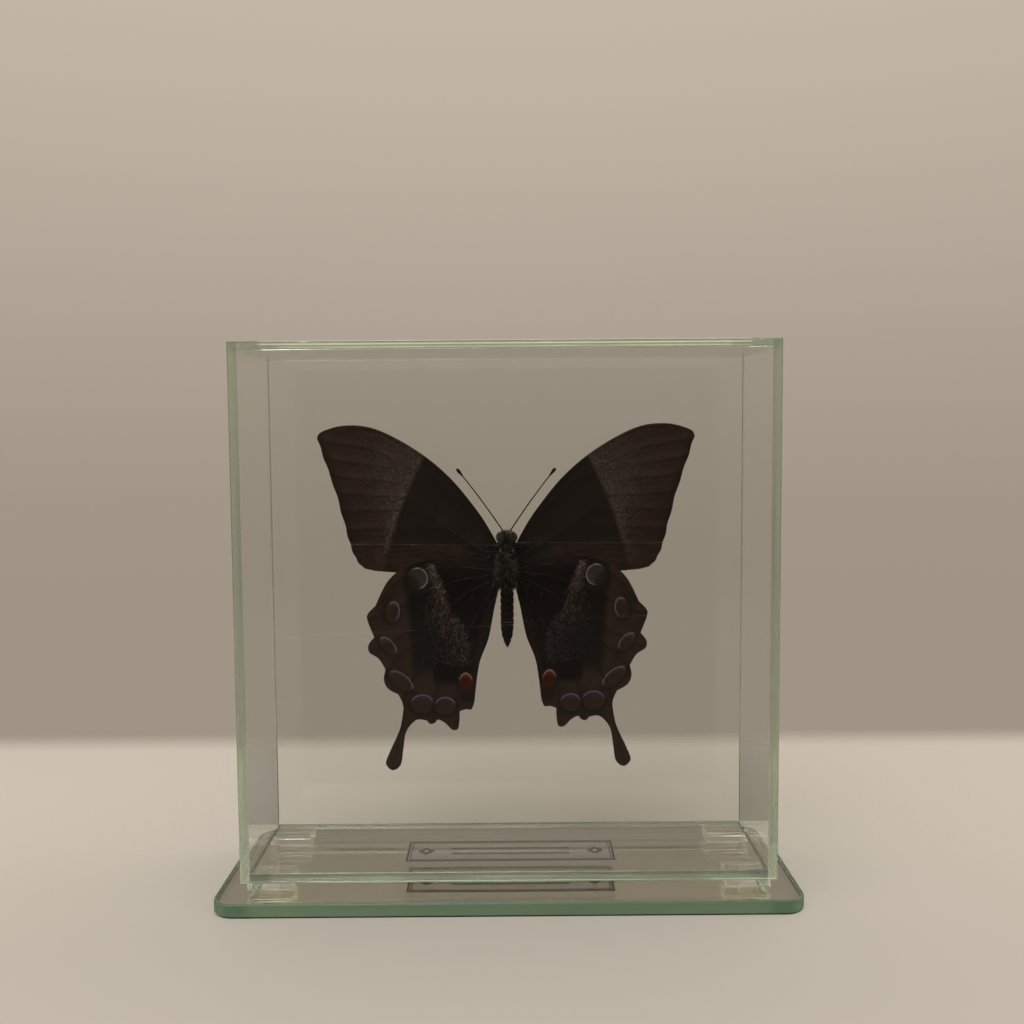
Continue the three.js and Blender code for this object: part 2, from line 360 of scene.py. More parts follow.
# Painted shade: the floor pane's ground edges get a dark tone, for the plate's shade that they stand in.
FOOT_SHADE_TONE = (0.24, 0.26, 0.19)
FOOT_SHADE_BLOOM = 0.34
DARK = (0.0, 0.0, 0.0)
GLOW_TONE = srgb(160, 156, 136)
UPPER_STRIPE = (0.5, 0.6, 0.9, 1.0)
LOWER_STRIPE = (1.5, 1.56, 1.7, 1.76)
STRIPE_END = (67.8, 65.8)
STRIPE_WAVE = (0.2, 0.7)
STRIPE_STRETCH = 0.05


def glass(name, ior, green, density, specks, ground=None, satin=0.0, bloom=0.0, tone=DARK, lit=None):
    """Clear glass with a few specks of dust. ground gives the mask of its ground faces.

    There the glass has the roughness satin, and scatters the share bloom of its light in this
    tone. lit gives the mask of what glows on the ground faces.
    """
    graph = Graph(name)
    x, y, z = graph.place()
    dust = graph.noise(graph.point(x, y, z), scale=2.2, detail=2.0).step(*SPECK_STEP)
    mask = ground(graph) if ground else 0.0
    sockets = {
        "Base Color": GLASS_TONE,
        "Roughness": dust * specks + mask * satin,
        "IOR": ior,
        "Transmission Weight": 1.0,
    }
    if lit:
        sockets["Emission Color"] = graph.mix(DARK, GLOW_TONE, mask * lit(graph))
        sockets["Emission Strength"] = 1.0
    body = graph.node("BsdfPrincipled", sockets=sockets)
    if ground:
        scattered = graph.node("BsdfDiffuse", sockets={"Color": tone})
        body = graph.node("MixShader", sockets={0: mask * bloom, 1: body, 2: scattered})
    lamp_ray = graph.node("LightPath", output="Is Shadow Ray")
    clear = graph.node("BsdfTransparent", sockets={"Color": LAMP_TINT})
    surface = graph.node("MixShader", sockets={0: lamp_ray, 1: body, 2: clear})
    volume = graph.node("VolumeAbsorption", sockets={"Color": green, "Density": density})
    graph.node("OutputMaterial", sockets={"Surface": surface, "Volume": volume})
    return graph.owner


def ground_edges(node):
    """The mask of a pane that is 1 on its four narrow faces and 0 on its two large ones."""
    low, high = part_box(node)
    middle, half = (low + high) / 2 / MM, (high - low) / 2 / MM
    thin = min(range(3), key=lambda axis: half[axis])

    def mask(graph):
        spot = graph.place()
        wide = [axis for axis in range(3) if axis != thin]
        first, second = (
            abs(spot[axis] - middle[axis]).step(half[axis] - GROUND_FROM, half[axis] - GROUND_FULL)
            for axis in wide
        )
        return first.most(second)

    return mask


def lit_stripes(graph):
    """Two lit stripes along the top pane's ground edge, which end short of its corners."""
    x, y, z = graph.place()
    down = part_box("top_pane")[1].z / MM - z
    upper = down.band(*UPPER_STRIPE)
    lower = down.band(*LOWER_STRIPE)
    wavy = graph.noise(graph.point(x * STRIPE_STRETCH, y, z), scale=1.0, detail=2.0)
    return upper.most(lower * wavy.step(*STRIPE_WAVE)) * abs(x).step(*STRIPE_END)


def dress(node, material):
    """Gives a solid of the frame a better material. Its shape stays."""
    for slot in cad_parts[node].material_slots:
        slot.material = material


PANES = ["back_pane", "front_pane", "left_pane", "right_pane", "floor_pane", "top_pane"]
for pane in PANES:
    foot = pane == "floor_pane"
    pane_glass = glass(
        f"{pane}_glass", GLASS_IOR, GLASS_GREEN, GLASS_DENSITY, PANE_SPECKS,
        ground=ground_edges(pane),
        satin=PANE_SATIN,
        # The floor pane's edges take the painted shade tone.
        bloom=FOOT_SHADE_BLOOM if foot else EDGE_BLOOM,
        tone=FOOT_SHADE_TONE if foot else EDGE_TONE,
        lit=lit_stripes if pane == "top_pane" else None,
    )
    dress(pane, pane_glass)
print("glass:", len(PANES), "panes")

# %% [markdown]
# ## Hands on a mesh
# In edit mode an operator acts on all that is selected, so these helpers select first.

# %% Selecting


def only(piece):
    """Makes piece the one selected and active object."""
    bpy.ops.object.select_all(action="DESELECT")
    piece.select_set(True)
    bpy.context.view_layer.objects.active = piece


def select(piece, kind, test):
    """Enters edit mode on piece with the VERT, EDGE or FACE parts selected that pass test."""
    only(piece)
    bpy.ops.object.mode_set(mode="EDIT")
    bpy.ops.mesh.select_mode(type=kind)
    bpy.ops.mesh.select_all(action="DESELECT")
    bpy.ops.object.mode_set(mode="OBJECT")
    mesh = piece.data
    for part in {"VERT": mesh.vertices, "EDGE": mesh.edges, "FACE": mesh.polygons}[kind]:
        part.select = bool(test(part))
    bpy.ops.object.mode_set(mode="EDIT")


def leave():
    """Back to object mode."""
    bpy.ops.object.mode_set(mode="OBJECT")


def settle(piece):
    """Puts a piece's place, turn and size into its mesh."""
    only(piece)
    bpy.ops.object.transform_apply(location=True, rotation=True, scale=True)


def block(name, low, high):
    """A box between two corners, as the start of a piece."""
    low, high = Vector(low), Vector(high)
    bpy.ops.object.select_all(action="DESELECT")
    bpy.ops.mesh.primitive_cube_add(size=1, location=(low + high) / 2, scale=high - low)
    piece = bpy.context.object
    piece.name = name
    settle(piece)
    return piece


def ends(piece, edge):
    """The two end points of an edge."""
    return [piece.data.vertices[i].co for i in edge.vertices]


# %% [markdown]
# ## Mirror plate
# The base is a plate of 4 mm glass with its corners rounded and its rim ground and polished.
# The silver is on the underside, under paint, so the picture lies deep in the glass and
# the rim stays clear and green. One body of glass whose underside faces are metal does the
# same. A thin coat of dark paint closes it below. It is the mirror's real backing, and its
# thickness and dark tone are also painted shade, for the shadow in the gap under the plate.

# %% Mirror plate
CORNER_RADIUS = 6 * MM
CORNER_STEPS = 14
RIM_ROUND = 0.55 * MM
RIM_STEPS = 3
RIM_CREASE = math.radians(12)
# The paint is thick enough to show as a dark line under the rim: partly painted shade.
PAINT = 0.3 * MM
PAINT_ROUND = PAINT / 5
PAINT_GAP = 0.02 * MM
PAINT_INSET = 0.6 * RIM_ROUND
PLATE_GREEN = (0.44, 0.64, 0.44)
PLATE_DENSITY = 36.0
PLATE_SPECKS = 0.2
RIM_TONE = (0.22, 0.40, 0.28)
RIM_SATIN = 0.3
RIM_BLOOM = 0.3
RIM_WIDTH = (-0.7, -0.5)
SILVER_LOW = (0.86, 0.80, 0.76)
SILVER_HIGH = (0.90, 0.83, 0.79)
SILVER_HAZE = 0.01
# Dark paint tones, also painted shade for the gap under the plate.
PAINT_SHADE_LOW = srgb(34, 36, 32)
PAINT_SHADE_HIGH = srgb(52, 54, 48)
UPRIGHT = 1e-6
LEVEL = 0.9


def upright(piece, edge):
    """Whether an edge runs from the bottom of a plate to its top."""
    start, end = ends(piece, edge)
    return abs(start.z - end.z) > UPRIGHT


def rounded_plate(name, low, high, rim):
    """A plate with round corners, and its top and bottom rims rounded by rim."""
    piece = block(name, low, high)
    select(piece, "EDGE", lambda edge: upright(piece, edge))
    bpy.ops.mesh.bevel(offset=CORNER_RADIUS, segments=CORNER_STEPS)
    leave()
    select(piece, "FACE", lambda face: abs(face.normal.z) > LEVEL)
    bpy.ops.mesh.region_to_loop()
    bpy.ops.mesh.bevel(offset=rim, segments=RIM_STEPS)
    leave()
    bpy.ops.object.shade_smooth_by_angle(angle=RIM_CREASE)
    return piece


def silver_finish():
    """Silver with a faint cloudiness."""
    graph = Graph("silver")
    x, y, z = graph.place()
    cloud = graph.noise(graph.point(x, y, z), scale=0.05, detail=3.0)
    tone = graph.mix(SILVER_LOW, SILVER_HIGH, cloud)
    return graph.finish(Base_Color=tone, Metallic=1.0, Roughness=cloud * SILVER_HAZE)


def paint_and_shade_finish():
    """Matt paint over the silver, dark also as painted shade under the plate."""
    graph = Graph("backing_paint_and_shade")
    x, y, z = graph.place()
    grain = graph.noise(graph.point(x, y, z), scale=3.0, detail=4.0)
    tone = graph.mix(PAINT_SHADE_LOW, PAINT_SHADE_HIGH, grain)
    return graph.finish(Base_Color=tone, Roughness=0.4 + grain * 0.3)


plate_low, plate_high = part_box("base_plate")


def ground_rim(graph):
    """1 along the plate's rim, from the distance to its rounded rectangle."""
    x, y, z = graph.place()
    corner = CORNER_RADIUS / MM
    along = (abs(x) - (plate_high.x / MM - corner)).most(0.0)
    across = (abs(y) - (plate_high.y / MM - corner)).most(0.0)
    beyond = (along * along + across * across) ** 0.5 - corner
    return beyond.step(*RIM_WIDTH)


plate_glass = glass(
    "plate_glass", GLASS_IOR, PLATE_GREEN, PLATE_DENSITY, PLATE_SPECKS,
    ground=ground_rim,
    satin=RIM_SATIN,
    bloom=RIM_BLOOM,
    tone=RIM_TONE,
)
mirror_plate = rounded_plate("mirror_plate", plate_low + Vector((0, 0, PAINT)), plate_high, RIM_ROUND)
backing_inset = Vector((PAINT_INSET, PAINT_INSET, 0))
backing_top = Vector((plate_high.x, plate_high.y, PAINT - PAINT_GAP))
backing = rounded_plate("backing", plate_low + backing_inset, backing_top - backing_inset, PAINT_ROUND)
for material in (plate_glass, silver_finish(), paint_and_shade_finish()):
    mirror_plate.data.materials.append(material)
    backing.data.materials.append(material)
for face in mirror_plate.data.polygons:
    face.material_index = 1 if face.normal.z < -LEVEL else 0
for face in backing.data.polygons:
    face.material_index = 2
only(mirror_plate)
backing.select_set(True)
bpy.ops.object.join()
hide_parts("base_plate")
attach(mirror_plate, "root")
print("mirror plate:", len(mirror_plate.data.polygons), "faces")

# %% [markdown]
# ## Pads
# The four pads are squares of clear acrylic. Their edges are broken with a small polished
# bevel, and those thin faces are what one sees of them: each throws back another light.

# %% Pads
PADS = [f"{end}_{side}_pad" for end in ("back", "front") for side in ("left", "right")]
PAD_BEVEL = 0.35 * MM
PAD_BEVEL_STEPS = 2
PAD_CREASE = math.radians(20)
PAD_IOR = 1.49
PAD_GREEN = (0.9, 0.95, 0.9)
PAD_DENSITY = 3.0
PAD_SPECKS = 0.1

pad_glass = glass("pad_glass", PAD_IOR, PAD_GREEN, PAD_DENSITY, PAD_SPECKS)
for pad in PADS:
    piece = block(f"{pad}_block", *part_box(pad))
    select(piece, "EDGE", lambda edge: True)
    bpy.ops.mesh.bevel(offset=PAD_BEVEL, segments=PAD_BEVEL_STEPS)
    leave()
    bpy.ops.object.shade_smooth_by_angle(angle=PAD_CREASE)
    piece.data.materials.append(pad_glass)
    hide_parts(pad)
    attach(piece, "root")
print("pads:", len(PADS), "with", len(piece.data.polygons), "faces each")

# %% [markdown]
# ## Tubes
# Veins, feelers, legs and lines are all tubes along a path whose radius changes. A path
# curve with a round bevel gives the tube, and converting it gives a mesh with closed ends.

# %% Tubes
TUBE_CREASE = math.radians(50)
TUBE_WELD = 1e-7


def smooth_path(points, steps):
    """Points on a smooth curve through the given ones, with this many steps for each span."""
    points = [np.array(p, float) for p in points]
    last = len(points) - 1
    path = []
    for i in range(last):
        before, start, end, after = (points[min(max(i + k, 0), last)] for k in (-1, 0, 1, 2))
        for step in range(steps):
            t = step / steps
            lead, trail = (end - before) / 2, (after - start) / 2
            path.append(
                start + lead * t
                + (3 * (end - start) - 2 * lead - trail) * t ** 2
                + (2 * (start - end) + lead + trail) * t ** 3
            )
    return [*path, points[last]]


def tube(name, path, radii, roundness=2):
    """A closed tube along a path, both in millimetres."""
    bpy.ops.object.select_all(action="DESELECT")
    bpy.ops.curve.primitive_nurbs_path_add()
    piece = bpy.context.object
    piece.name = name
    piece.data.splines.clear()
    spline = piece.data.splines.new("POLY")
    spline.points.add(len(path) - 1)
    for point, place, radius in zip(spline.points, path, radii):
        point.co = (*(v * MM for v in place), 1)
        point.radius = radius * MM
    piece.data.bevel_depth = 1.0
    piece.data.bevel_resolution = roundness
    piece.data.use_fill_caps = True
    bpy.ops.object.convert(target="MESH")
    select(piece, "VERT", lambda vertex: True)
    bpy.ops.mesh.remove_doubles(threshold=TUBE_WELD)
    bpy.ops.mesh.normals_make_consistent(inside=False)
    leave()
    bpy.ops.object.shade_smooth_by_angle(angle=TUBE_CREASE)
    return piece


def join(name, pieces):
    """Joins pieces into the first one."""
    only(pieces[0])
    for piece in pieces[1:]:
        piece.select_set(True)
    bpy.ops.object.join()
    pieces[0].name = name
    return pieces[0]


def paint(piece, *materials):
    """Gives a piece its materials, one for each slot."""
    piece.data.materials.clear()
    for material in materials:
        piece.data.materials.append(material)
    return piece


def place(piece, node, slot):
    """Puts a finished piece into the frame in place of a solid."""
    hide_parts(node)
    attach(piece, "root")
    print(f"{piece.name}: {len(piece.data.polygons)} faces")


# %% [markdown]
# ## Wings
# A wing is a membrane a tenth of a millimetre thick, held out by stiff veins. Its border is
# written as runs from corner to corner, and a smooth curve is led through each run. All places
# are in millimetres, outward and up from the middle of the thorax.

# %% Wing borders and veins
MIDDLE_LEVEL = 94.9
HINDWING_SHIFT = 0.4

FOREWING_BORDER = [
    [(2.0, 3.2), (3.9, 7.0), (8.4, 14.3), (16.7, 24.5), (26.6, 32.6), (38.1, 38.6), (47.0, 39.7),
     (53.9, 37.9), (55.3, 35.9)],
    [(55.3, 35.9), (53.2, 29.4), (50.2, 20.3), (47.7, 10.8), (46.1, 4.5), (44.3, 0.1), (42.2, -2.2),
     (39.0, -3.1)],
    [(39.0, -3.1), (28.0, -4.0), (15.0, -5.2), (2.0, -5.2)],
]
HINDWING_BORDER = [
    [(2.0, -2.4), (12.0, 0.2), (22.0, 0.6), (30.0, -1.6), (35.2, -5.8), (38.9, -13.0)],
    [(38.9, -13.0), (41.3, -15.6), (41.1, -18.0), (39.4, -22.4)],
    [(39.4, -22.4), (41.1, -24.6), (40.9, -26.9), (38.2, -28.8), (36.2, -32.0)],
    [(36.2, -32.0), (36.7, -35.0), (35.6, -37.7), (32.4, -39.6)],
    [(32.4, -39.6), (31.0, -43.5), (32.0, -49.5), (35.2, -56.7), (36.4, -60.3), (34.4, -62.3),
     (32.0, -60.6), (31.2, -56.0), (30.2, -50.6), (27.2, -47.2), (24.0, -47.4)],
    [(24.0, -47.4), (23.2, -48.3), (21.8, -48.1), (20.7, -47.1), (18.6, -48.2), (16.6, -50.1),
     (14.9, -49.9), (14.4, -47.4), (14.3, -44.6)],
    [(14.3, -44.6), (12.4, -44.0), (10.8, -44.0), (9.9, -41.8)],
    [(9.9, -41.8), (8.4, -30.6), (5.6, -23.0), (3.8, -14.0), (2.5, -8.4), (2.0, -7.0)],
]
# Each vein: radius at its start, radius at its end, and the points that it runs through.
FOREWING_VEINS = [
    (0.24, 0.10, [(2.2, 3.0), (8.7, 13.4), (17.0, 23.6), (26.8, 31.7), (38.1, 37.8), (46.6, 38.9)]),
    (0.22, 0.13, [(2.2, 2.2), (10.0, 13.0), (18.5, 21.8), (26.9, 26.4)]),
    (0.13, 0.07, [(18.5, 21.8), (28.6, 30.2), (37.4, 36.2)]),
    (0.13, 0.07, [(26.9, 26.4), (37.1, 31.6), (45.2, 33.5), (54.4, 34.9)]),
    (0.12, 0.07, [(28.2, 25.2), (33.2, 27.0), (45.1, 28.6), (53.2, 30.0)]),
    (0.12, 0.07, [(29.3, 22.4), (38.0, 23.6), (46.3, 24.1), (51.6, 25.4)]),
    (0.12, 0.07, [(28.8, 18.6), (38.0, 19.0), (46.3, 19.3), (49.9, 20.4)]),
    (0.12, 0.07, [(24.5, 14.2), (31.7, 14.6), (40.0, 14.5), (48.4, 14.5)]),
    (0.13, 0.07, [(17.5, 9.6), (26.0, 9.8), (33.6, 9.4), (46.9, 8.8)]),
    (0.20, 0.12, [(2.2, 0.4), (11.0, 5.4), (17.5, 9.6), (24.5, 14.2), (28.8, 18.6)]),
    (0.12, 0.12, [(26.9, 26.4), (28.2, 25.2), (29.3, 22.4), (28.8, 18.6)]),
    (0.16, 0.07, [(2.2, -0.8), (16.0, 1.6), (27.0, 3.6), (35.1, 4.4), (45.5, 3.4)]),
    (0.12, 0.07, [(2.2, -2.8), (12.0, -3.6), (24.0, -2.4), (36.0, -1.8)]),
]
HINDWING_VEINS = [
    (0.17, 0.08, [(2.2, -3.0), (14.0, -1.5), (26.0, -2.2), (33.6, -7.2), (37.4, -12.4)]),
    (0.15, 0.07, [(2.2, -3.8), (14.0, -5.4), (24.0, -9.2), (32.0, -13.5), (40.4, -17.0)]),
    (0.16, 0.12, [(2.2, -4.6), (12.0, -9.5), (19.0, -15.5), (22.5, -21.5)]),
    (0.12, 0.07, [(19.0, -15.5), (28.0, -20.0), (36.0, -24.6), (40.0, -26.2)]),
    (0.12, 0.07, [(22.5, -21.5), (29.0, -26.0), (33.6, -30.0), (36.4, -34.6)]),
    (0.15, 0.09, [(21.5, -25.5), (26.0, -31.5), (30.0, -38.5), (31.2, -46.0), (32.5, -53.0),
                  (34.3, -60.8)]),
    (0.12, 0.12, [(22.5, -21.5), (21.5, -25.5), (17.5, -27.5)]),
    (0.12, 0.07, [(17.5, -27.5), (19.6, -34.0), (21.6, -41.0), (22.2, -47.4)]),
    (0.16, 0.12, [(2.2, -5.4), (8.5, -15.0), (12.5, -23.0), (17.5, -27.5)]),
    (0.12, 0.07, [(12.5, -23.0), (14.0, -32.0), (15.2, -41.0), (15.6, -48.8)]),
    (0.13, 0.07, [(2.2, -6.4), (6.5, -20.0), (9.6, -32.0), (11.2, -42.8)]),
]
print("wings:", len(FOREWING_VEINS), "veins in a forewing,", len(HINDWING_VEINS), "in a hindwing")

# %% [markdown]
# The blade starts as one flat face with the wing's border. Bisecting it over and over, across
# and along, gives it the small cells that it needs to bend. (A Boolean would melt flat cells
# together again.) Then it is bowed, and pleated between the veins, which are tubes of their
# own. How far each point lies from a vein is kept on the mesh, for the colours.

# %% Cut, bow and pleat
BLADE = 0.12
CELL = 0.55
CUT_SNAP = 1e-6
BORDER_STEPS = 7
SCALLOPS = 8
SCALLOP_DEPTH = 0.28
WING_ROOT = 3.5
WING_REACH = 52
BOW = 0.9
SAG = 0.3
SAG_LENGTH = 14
PLEAT_WIDTH = 2.6
PLEAT_HEIGHT = 0.12
BLADE_CREASE = math.radians(40)
VEIN_STEPS = 6
VEIN_SHARE = 0.8
VEIN_GAP = "vein_gap"


def border_points(runs, scalloped=None):
    """The border as one closed list. The scalloped run is nibbled in between its veins."""
    points = []
    for number, run in enumerate(runs):
        path = smooth_path(run, BORDER_STEPS)
        if number == scalloped:
            for i, point in enumerate(path):
                bite = math.sin(math.pi * SCALLOPS * i / (len(path) - 1)) ** 2
                path[i] = point - np.array([SCALLOP_DEPTH * bite, 0])
        points += path[:-1] if number < len(runs) - 1 else path
    return points


def bowed(out, up):
    """How far a spread wing stands off its plane: the tips lean a little to the front."""
    return BOW * ((out - WING_ROOT) / WING_REACH) ** 2 - SAG * np.sin(up / SAG_LENGTH)


def distance_to(paths, points):
    """The distance from each point to the nearest of some paths."""
    nearest = np.full(len(points), np.inf)
    for path in paths:
        for start, end in zip(path[:-1], path[1:]):
            span = end - start
            share = ((points - start) @ span / (span @ span)).clip(0, 1)
            gap = np.linalg.norm(points - start - share[:, None] * span, axis=1)
            nearest = np.minimum(nearest, gap)
    return nearest


def vein_paths(veins):
    """The smooth path of each vein."""
    return [np.array(smooth_path(points, VEIN_STEPS)) for _, _, points in veins]


def stand_off(paths, spots):
    """How far the bowed and pleated blade stands off its plane at these spots."""
    near = np.clip(distance_to(paths, spots) / PLEAT_WIDTH, 0, 1)
    ridge = (1 - near * near * (3 - 2 * near)) * PLEAT_HEIGHT
    return bowed(spots[:, 0], spots[:, 1]) - ridge


def cut_blade(name, border, depth, shift):
    """A sheet with this border at y = depth, cut into small cells and given its thickness."""
    bpy.ops.object.select_all(action="DESELECT")
    bpy.ops.mesh.primitive_circle_add(vertices=len(border), fill_type="NGON")
    blade = bpy.context.object
    blade.name = name
    for vertex, (out, up) in zip(blade.data.vertices, border):
        vertex.co = (out * MM, (depth - BLADE / 2) * MM, (MIDDLE_LEVEL + up + shift) * MM)
    corners = np.array(border) * MM
    select(blade, "FACE", lambda face: True)
    for cut in np.arange(corners[:, 0].min() + CELL * MM, corners[:, 0].max(), CELL * MM):
        bpy.ops.mesh.select_all(action="SELECT")
        bpy.ops.mesh.bisect(plane_co=(cut, 0, 0), plane_no=(1, 0, 0), threshold=CUT_SNAP)
    for cut in np.arange(corners[:, 1].min() + CELL * MM, corners[:, 1].max(), CELL * MM):
        level = cut + (MIDDLE_LEVEL + shift) * MM
        bpy.ops.mesh.select_all(action="SELECT")
        bpy.ops.mesh.bisect(plane_co=(0, 0, level), plane_no=(0, 0, 1), threshold=CUT_SNAP)
    bpy.ops.mesh.select_all(action="SELECT")
    bpy.ops.mesh.extrude_region_move(TRANSFORM_OT_translate={"value": (0, BLADE * MM, 0)})
    bpy.ops.mesh.select_all(action="SELECT")
    bpy.ops.mesh.normals_make_consistent(inside=False)
    leave()
    print(f"{name}: cut into {len(blade.data.polygons)} cells")
    return blade


def wing(name, border, veins, depth, shift, finishes):
    """A right wing: a pleated blade and its veins. finishes are underside, upper side and vein."""
    blade = cut_blade(name, border, depth, shift)
    paths = vein_paths(veins)
    places = np.array([vertex.co for vertex in blade.data.vertices]) / MM
    spots = np.column_stack([places[:, 0], places[:, 2] - MIDDLE_LEVEL - shift])
    places[:, 1] += stand_off(paths, spots)
    blade.data.vertices.foreach_set("co", (places * MM).ravel())
    paint(blade, *finishes)
    for face in blade.data.polygons:
        face.material_index = 0 if face.normal.y < 0.5 else 1
    gap = blade.data.attributes.new(VEIN_GAP, "FLOAT", "POINT")
    gap.data.foreach_set("value", distance_to(paths, spots))
    tubes = []
    for (start, end, _), path in zip(veins, paths):
        lift = depth + stand_off(paths, path)
        line = [(out, y, MIDDLE_LEVEL + up + shift) for (out, up), y in zip(path, lift)]
        vein = tube("vein", line, np.linspace(start, end, len(line)) * VEIN_SHARE, roundness=1)
        paint(vein, *finishes)
        for face in vein.data.polygons:
            face.material_index = 2
        tubes.append(vein)
    only(blade)
    bpy.ops.object.shade_smooth_by_angle(angle=BLADE_CREASE)
    return join(name, [blade, *tubes])


# %% [markdown]
# ## Scales
# Wing colours are dust-fine scales. Where a mark has a border, a formula in wing places
# draws it: a step in the distance from an edge, an ellipse for an eyespot, a ring with one
# bright side for its crescent. Noise stretched along the veins gives the powdery dusting.

# %% Underside colours
SOOT = srgb(48, 37, 29)
UMBER = srgb(83, 60, 46)
OLIVE = srgb(59, 49, 38)
PLUM = srgb(73, 51, 43)
WINE = srgb(24, 11, 8)
SLATE = srgb(35, 28, 21)
DUST = srgb(152, 128, 112)
COPPER = srgb(98, 70, 60)
VIOLET = srgb(90, 78, 108)
CLAY = srgb(102, 86, 72)
LILAC = srgb(148, 134, 166)
MAUVE = srgb(150, 130, 142)
MILK = srgb(190, 172, 166)
EMBER = srgb(158, 74, 38)
CRIMSON = srgb(96, 32, 20)
BLUSH = srgb(206, 150, 124)
TAIL = srgb(98, 82, 72)
SCALE_STRENGTH = 0.35
SCALE_HEIGHT = 0.00008
SCALE_ROUGHNESS = 0.72
SCALE_SHINE = 0.1


def wing_place(graph, shift):
    """Outward and up on a wing, in millimetres, the same on the left as on the right."""
    x, y, z = graph.place()
    lean = x.math("SIGN", x) * shift
    return abs(x), z - lean - MIDDLE_LEVEL


def scale_bump(graph, out, up):
    """The rows of scales, as a fine unevenness."""
    rows = graph.noise(graph.point(out * 3.0, up * 7.0, 0.0), scale=1.0, detail=3.0, roughness=0.6)
    sockets = {"Strength": SCALE_STRENGTH, "Distance": SCALE_HEIGHT, "Height": rows}
    return graph.node("Bump", sockets=sockets)


def scaled(graph, tone, out, up):
    """A matt coat of scales in this colour."""
    return graph.finish(
        Base_Color=tone,
        Roughness=SCALE_ROUGHNESS,
        Specular_IOR_Level=SCALE_SHINE,
        Normal=scale_bump(graph, out, up),
    )


def edge_at(up, edge):
    """How far out an edge of the pattern lies at this height. edge is its place, lean and bend."""
    at, lean, bend = edge
    return at + up * lean + up * up * bend


# %% [markdown]
# The forewing is dark inside and brown beyond a slanting edge. The brown is lighter on the
# ribs between two veins than beside and midway between them, and pale powder lies along the
# edge, more of it toward the wing's front.

# %% Forewing underside
PALE_EDGE = (35.7, -0.24, -0.0046)
PALE_SOFT = 0.9
HEM_EDGE = (45.2, 0.215, 0.002)
HEM = (-3.4, -0.6)
INNER_CLOUD = (0.45, 0.75)
OUTER_CLOUD = (0.35, 0.65)
BESIDE_VEIN = (0.7, 0.2)
MIDWAY = (2.0, 2.7)
MIDWAY_SHARE = 0.35
RIB_SHARE = 0.65
POWDER_REACH = (1.5, 20.0)
POWDER_RISE = (4.0, 30.0)
POWDER_FALL = 1.3
POWDER_LEAST = 0.25
POWDER_MOST_AT = (0.0, 26.0)
POWDER_GRAIN = (0.25, 0.75)
POWDER_SHARE = 0.62
CORNER = (37.6, 1.2)
CORNER_SIZE = (3.0, 5.0)
MARGIN_UP = (5.6, 3.4)
MARGIN_OUT = (10.0, 17.0)


def forewing_under():
    """The colours of a forewing's underside."""
    graph = Graph("forewing_under")
    out, up = wing_place(graph, 0.0)
    cloud = graph.noise(graph.point(out, up, 0.0), scale=0.12, detail=3.0)
    powder = graph.noise(graph.point(out * 0.9, up * 3.0, 0.0), scale=1.6, detail=4.0, roughness=0.75)
    streaks = graph.noise(graph.point(out * 0.25, up * 1.6, 3.0), scale=1.0, detail=2.0)
    gap = graph.node("Attribute", {"attribute_name": VEIN_GAP}, output="Fac")
    beyond = out - edge_at(up, PALE_EDGE)
    pale_half = beyond.step(-PALE_SOFT, PALE_SOFT)
    inner = graph.mix(SOOT, OLIVE, cloud.step(*INNER_CLOUD) * 0.5)
    ribs = gap.step(*BESIDE_VEIN).most(gap.step(*MIDWAY) * MIDWAY_SHARE)
    outer = graph.mix(UMBER, PLUM, cloud.step(*OUTER_CLOUD))
    outer = graph.mix(outer, SOOT, ribs * RIB_SHARE)
    tone = graph.mix(inner, outer, pale_half)
    reach = POWDER_REACH[0] + up.step(*POWDER_RISE) * POWDER_REACH[1]
    amount = (1.0 - (beyond / reach).least(1.0).most(0.0)) ** POWDER_FALL * pale_half
    amount = amount * (POWDER_LEAST + up.step(*POWDER_MOST_AT) * (1.0 - POWDER_LEAST))
    dusted = amount * (powder + streaks * 0.5 - 0.25).step(*POWDER_GRAIN)
    tone = graph.mix(tone, DUST, dusted * POWDER_SHARE)
    aside, above = out - CORNER[0], up - CORNER[1]
    corner = (aside ** 2.0 / CORNER_SIZE[0] + above ** 2.0 / CORNER_SIZE[1]).step(1.4, 0.0)
    tone = graph.mix(tone, DUST, corner * powder.step(0.35, 0.7) * 0.45)
    tone = graph.mix(tone, SOOT, (out - edge_at(up, HEM_EDGE)).step(*HEM) * 0.7)
    margin = up.step(*MARGIN_UP) * out.step(*MARGIN_OUT) * streaks.step(0.25, 0.65)
    tone = graph.mix(tone, UMBER, margin * 0.8)
    return scaled(graph, tone, out, up)


# %% [markdown]
# An eyespot is an ellipse. Its radius, measured so that the edge lies at 1, gives the fill, a
# dark shade around the edge and the crescent, which is the same ring kept on one side only.

# %% Eyespots
FILL_EDGE = (1.06, 0.92)
SHADE_RING = (0.86, 1.0, 1.1, 1.6)
CRESCENT_WIDTH = 0.27
CRESCENT_INNER = 1.9
CRESCENT_OUTER = 0.6
CRESCENT_SOFT = 0.8
CENTRE_GUARD = 0.05


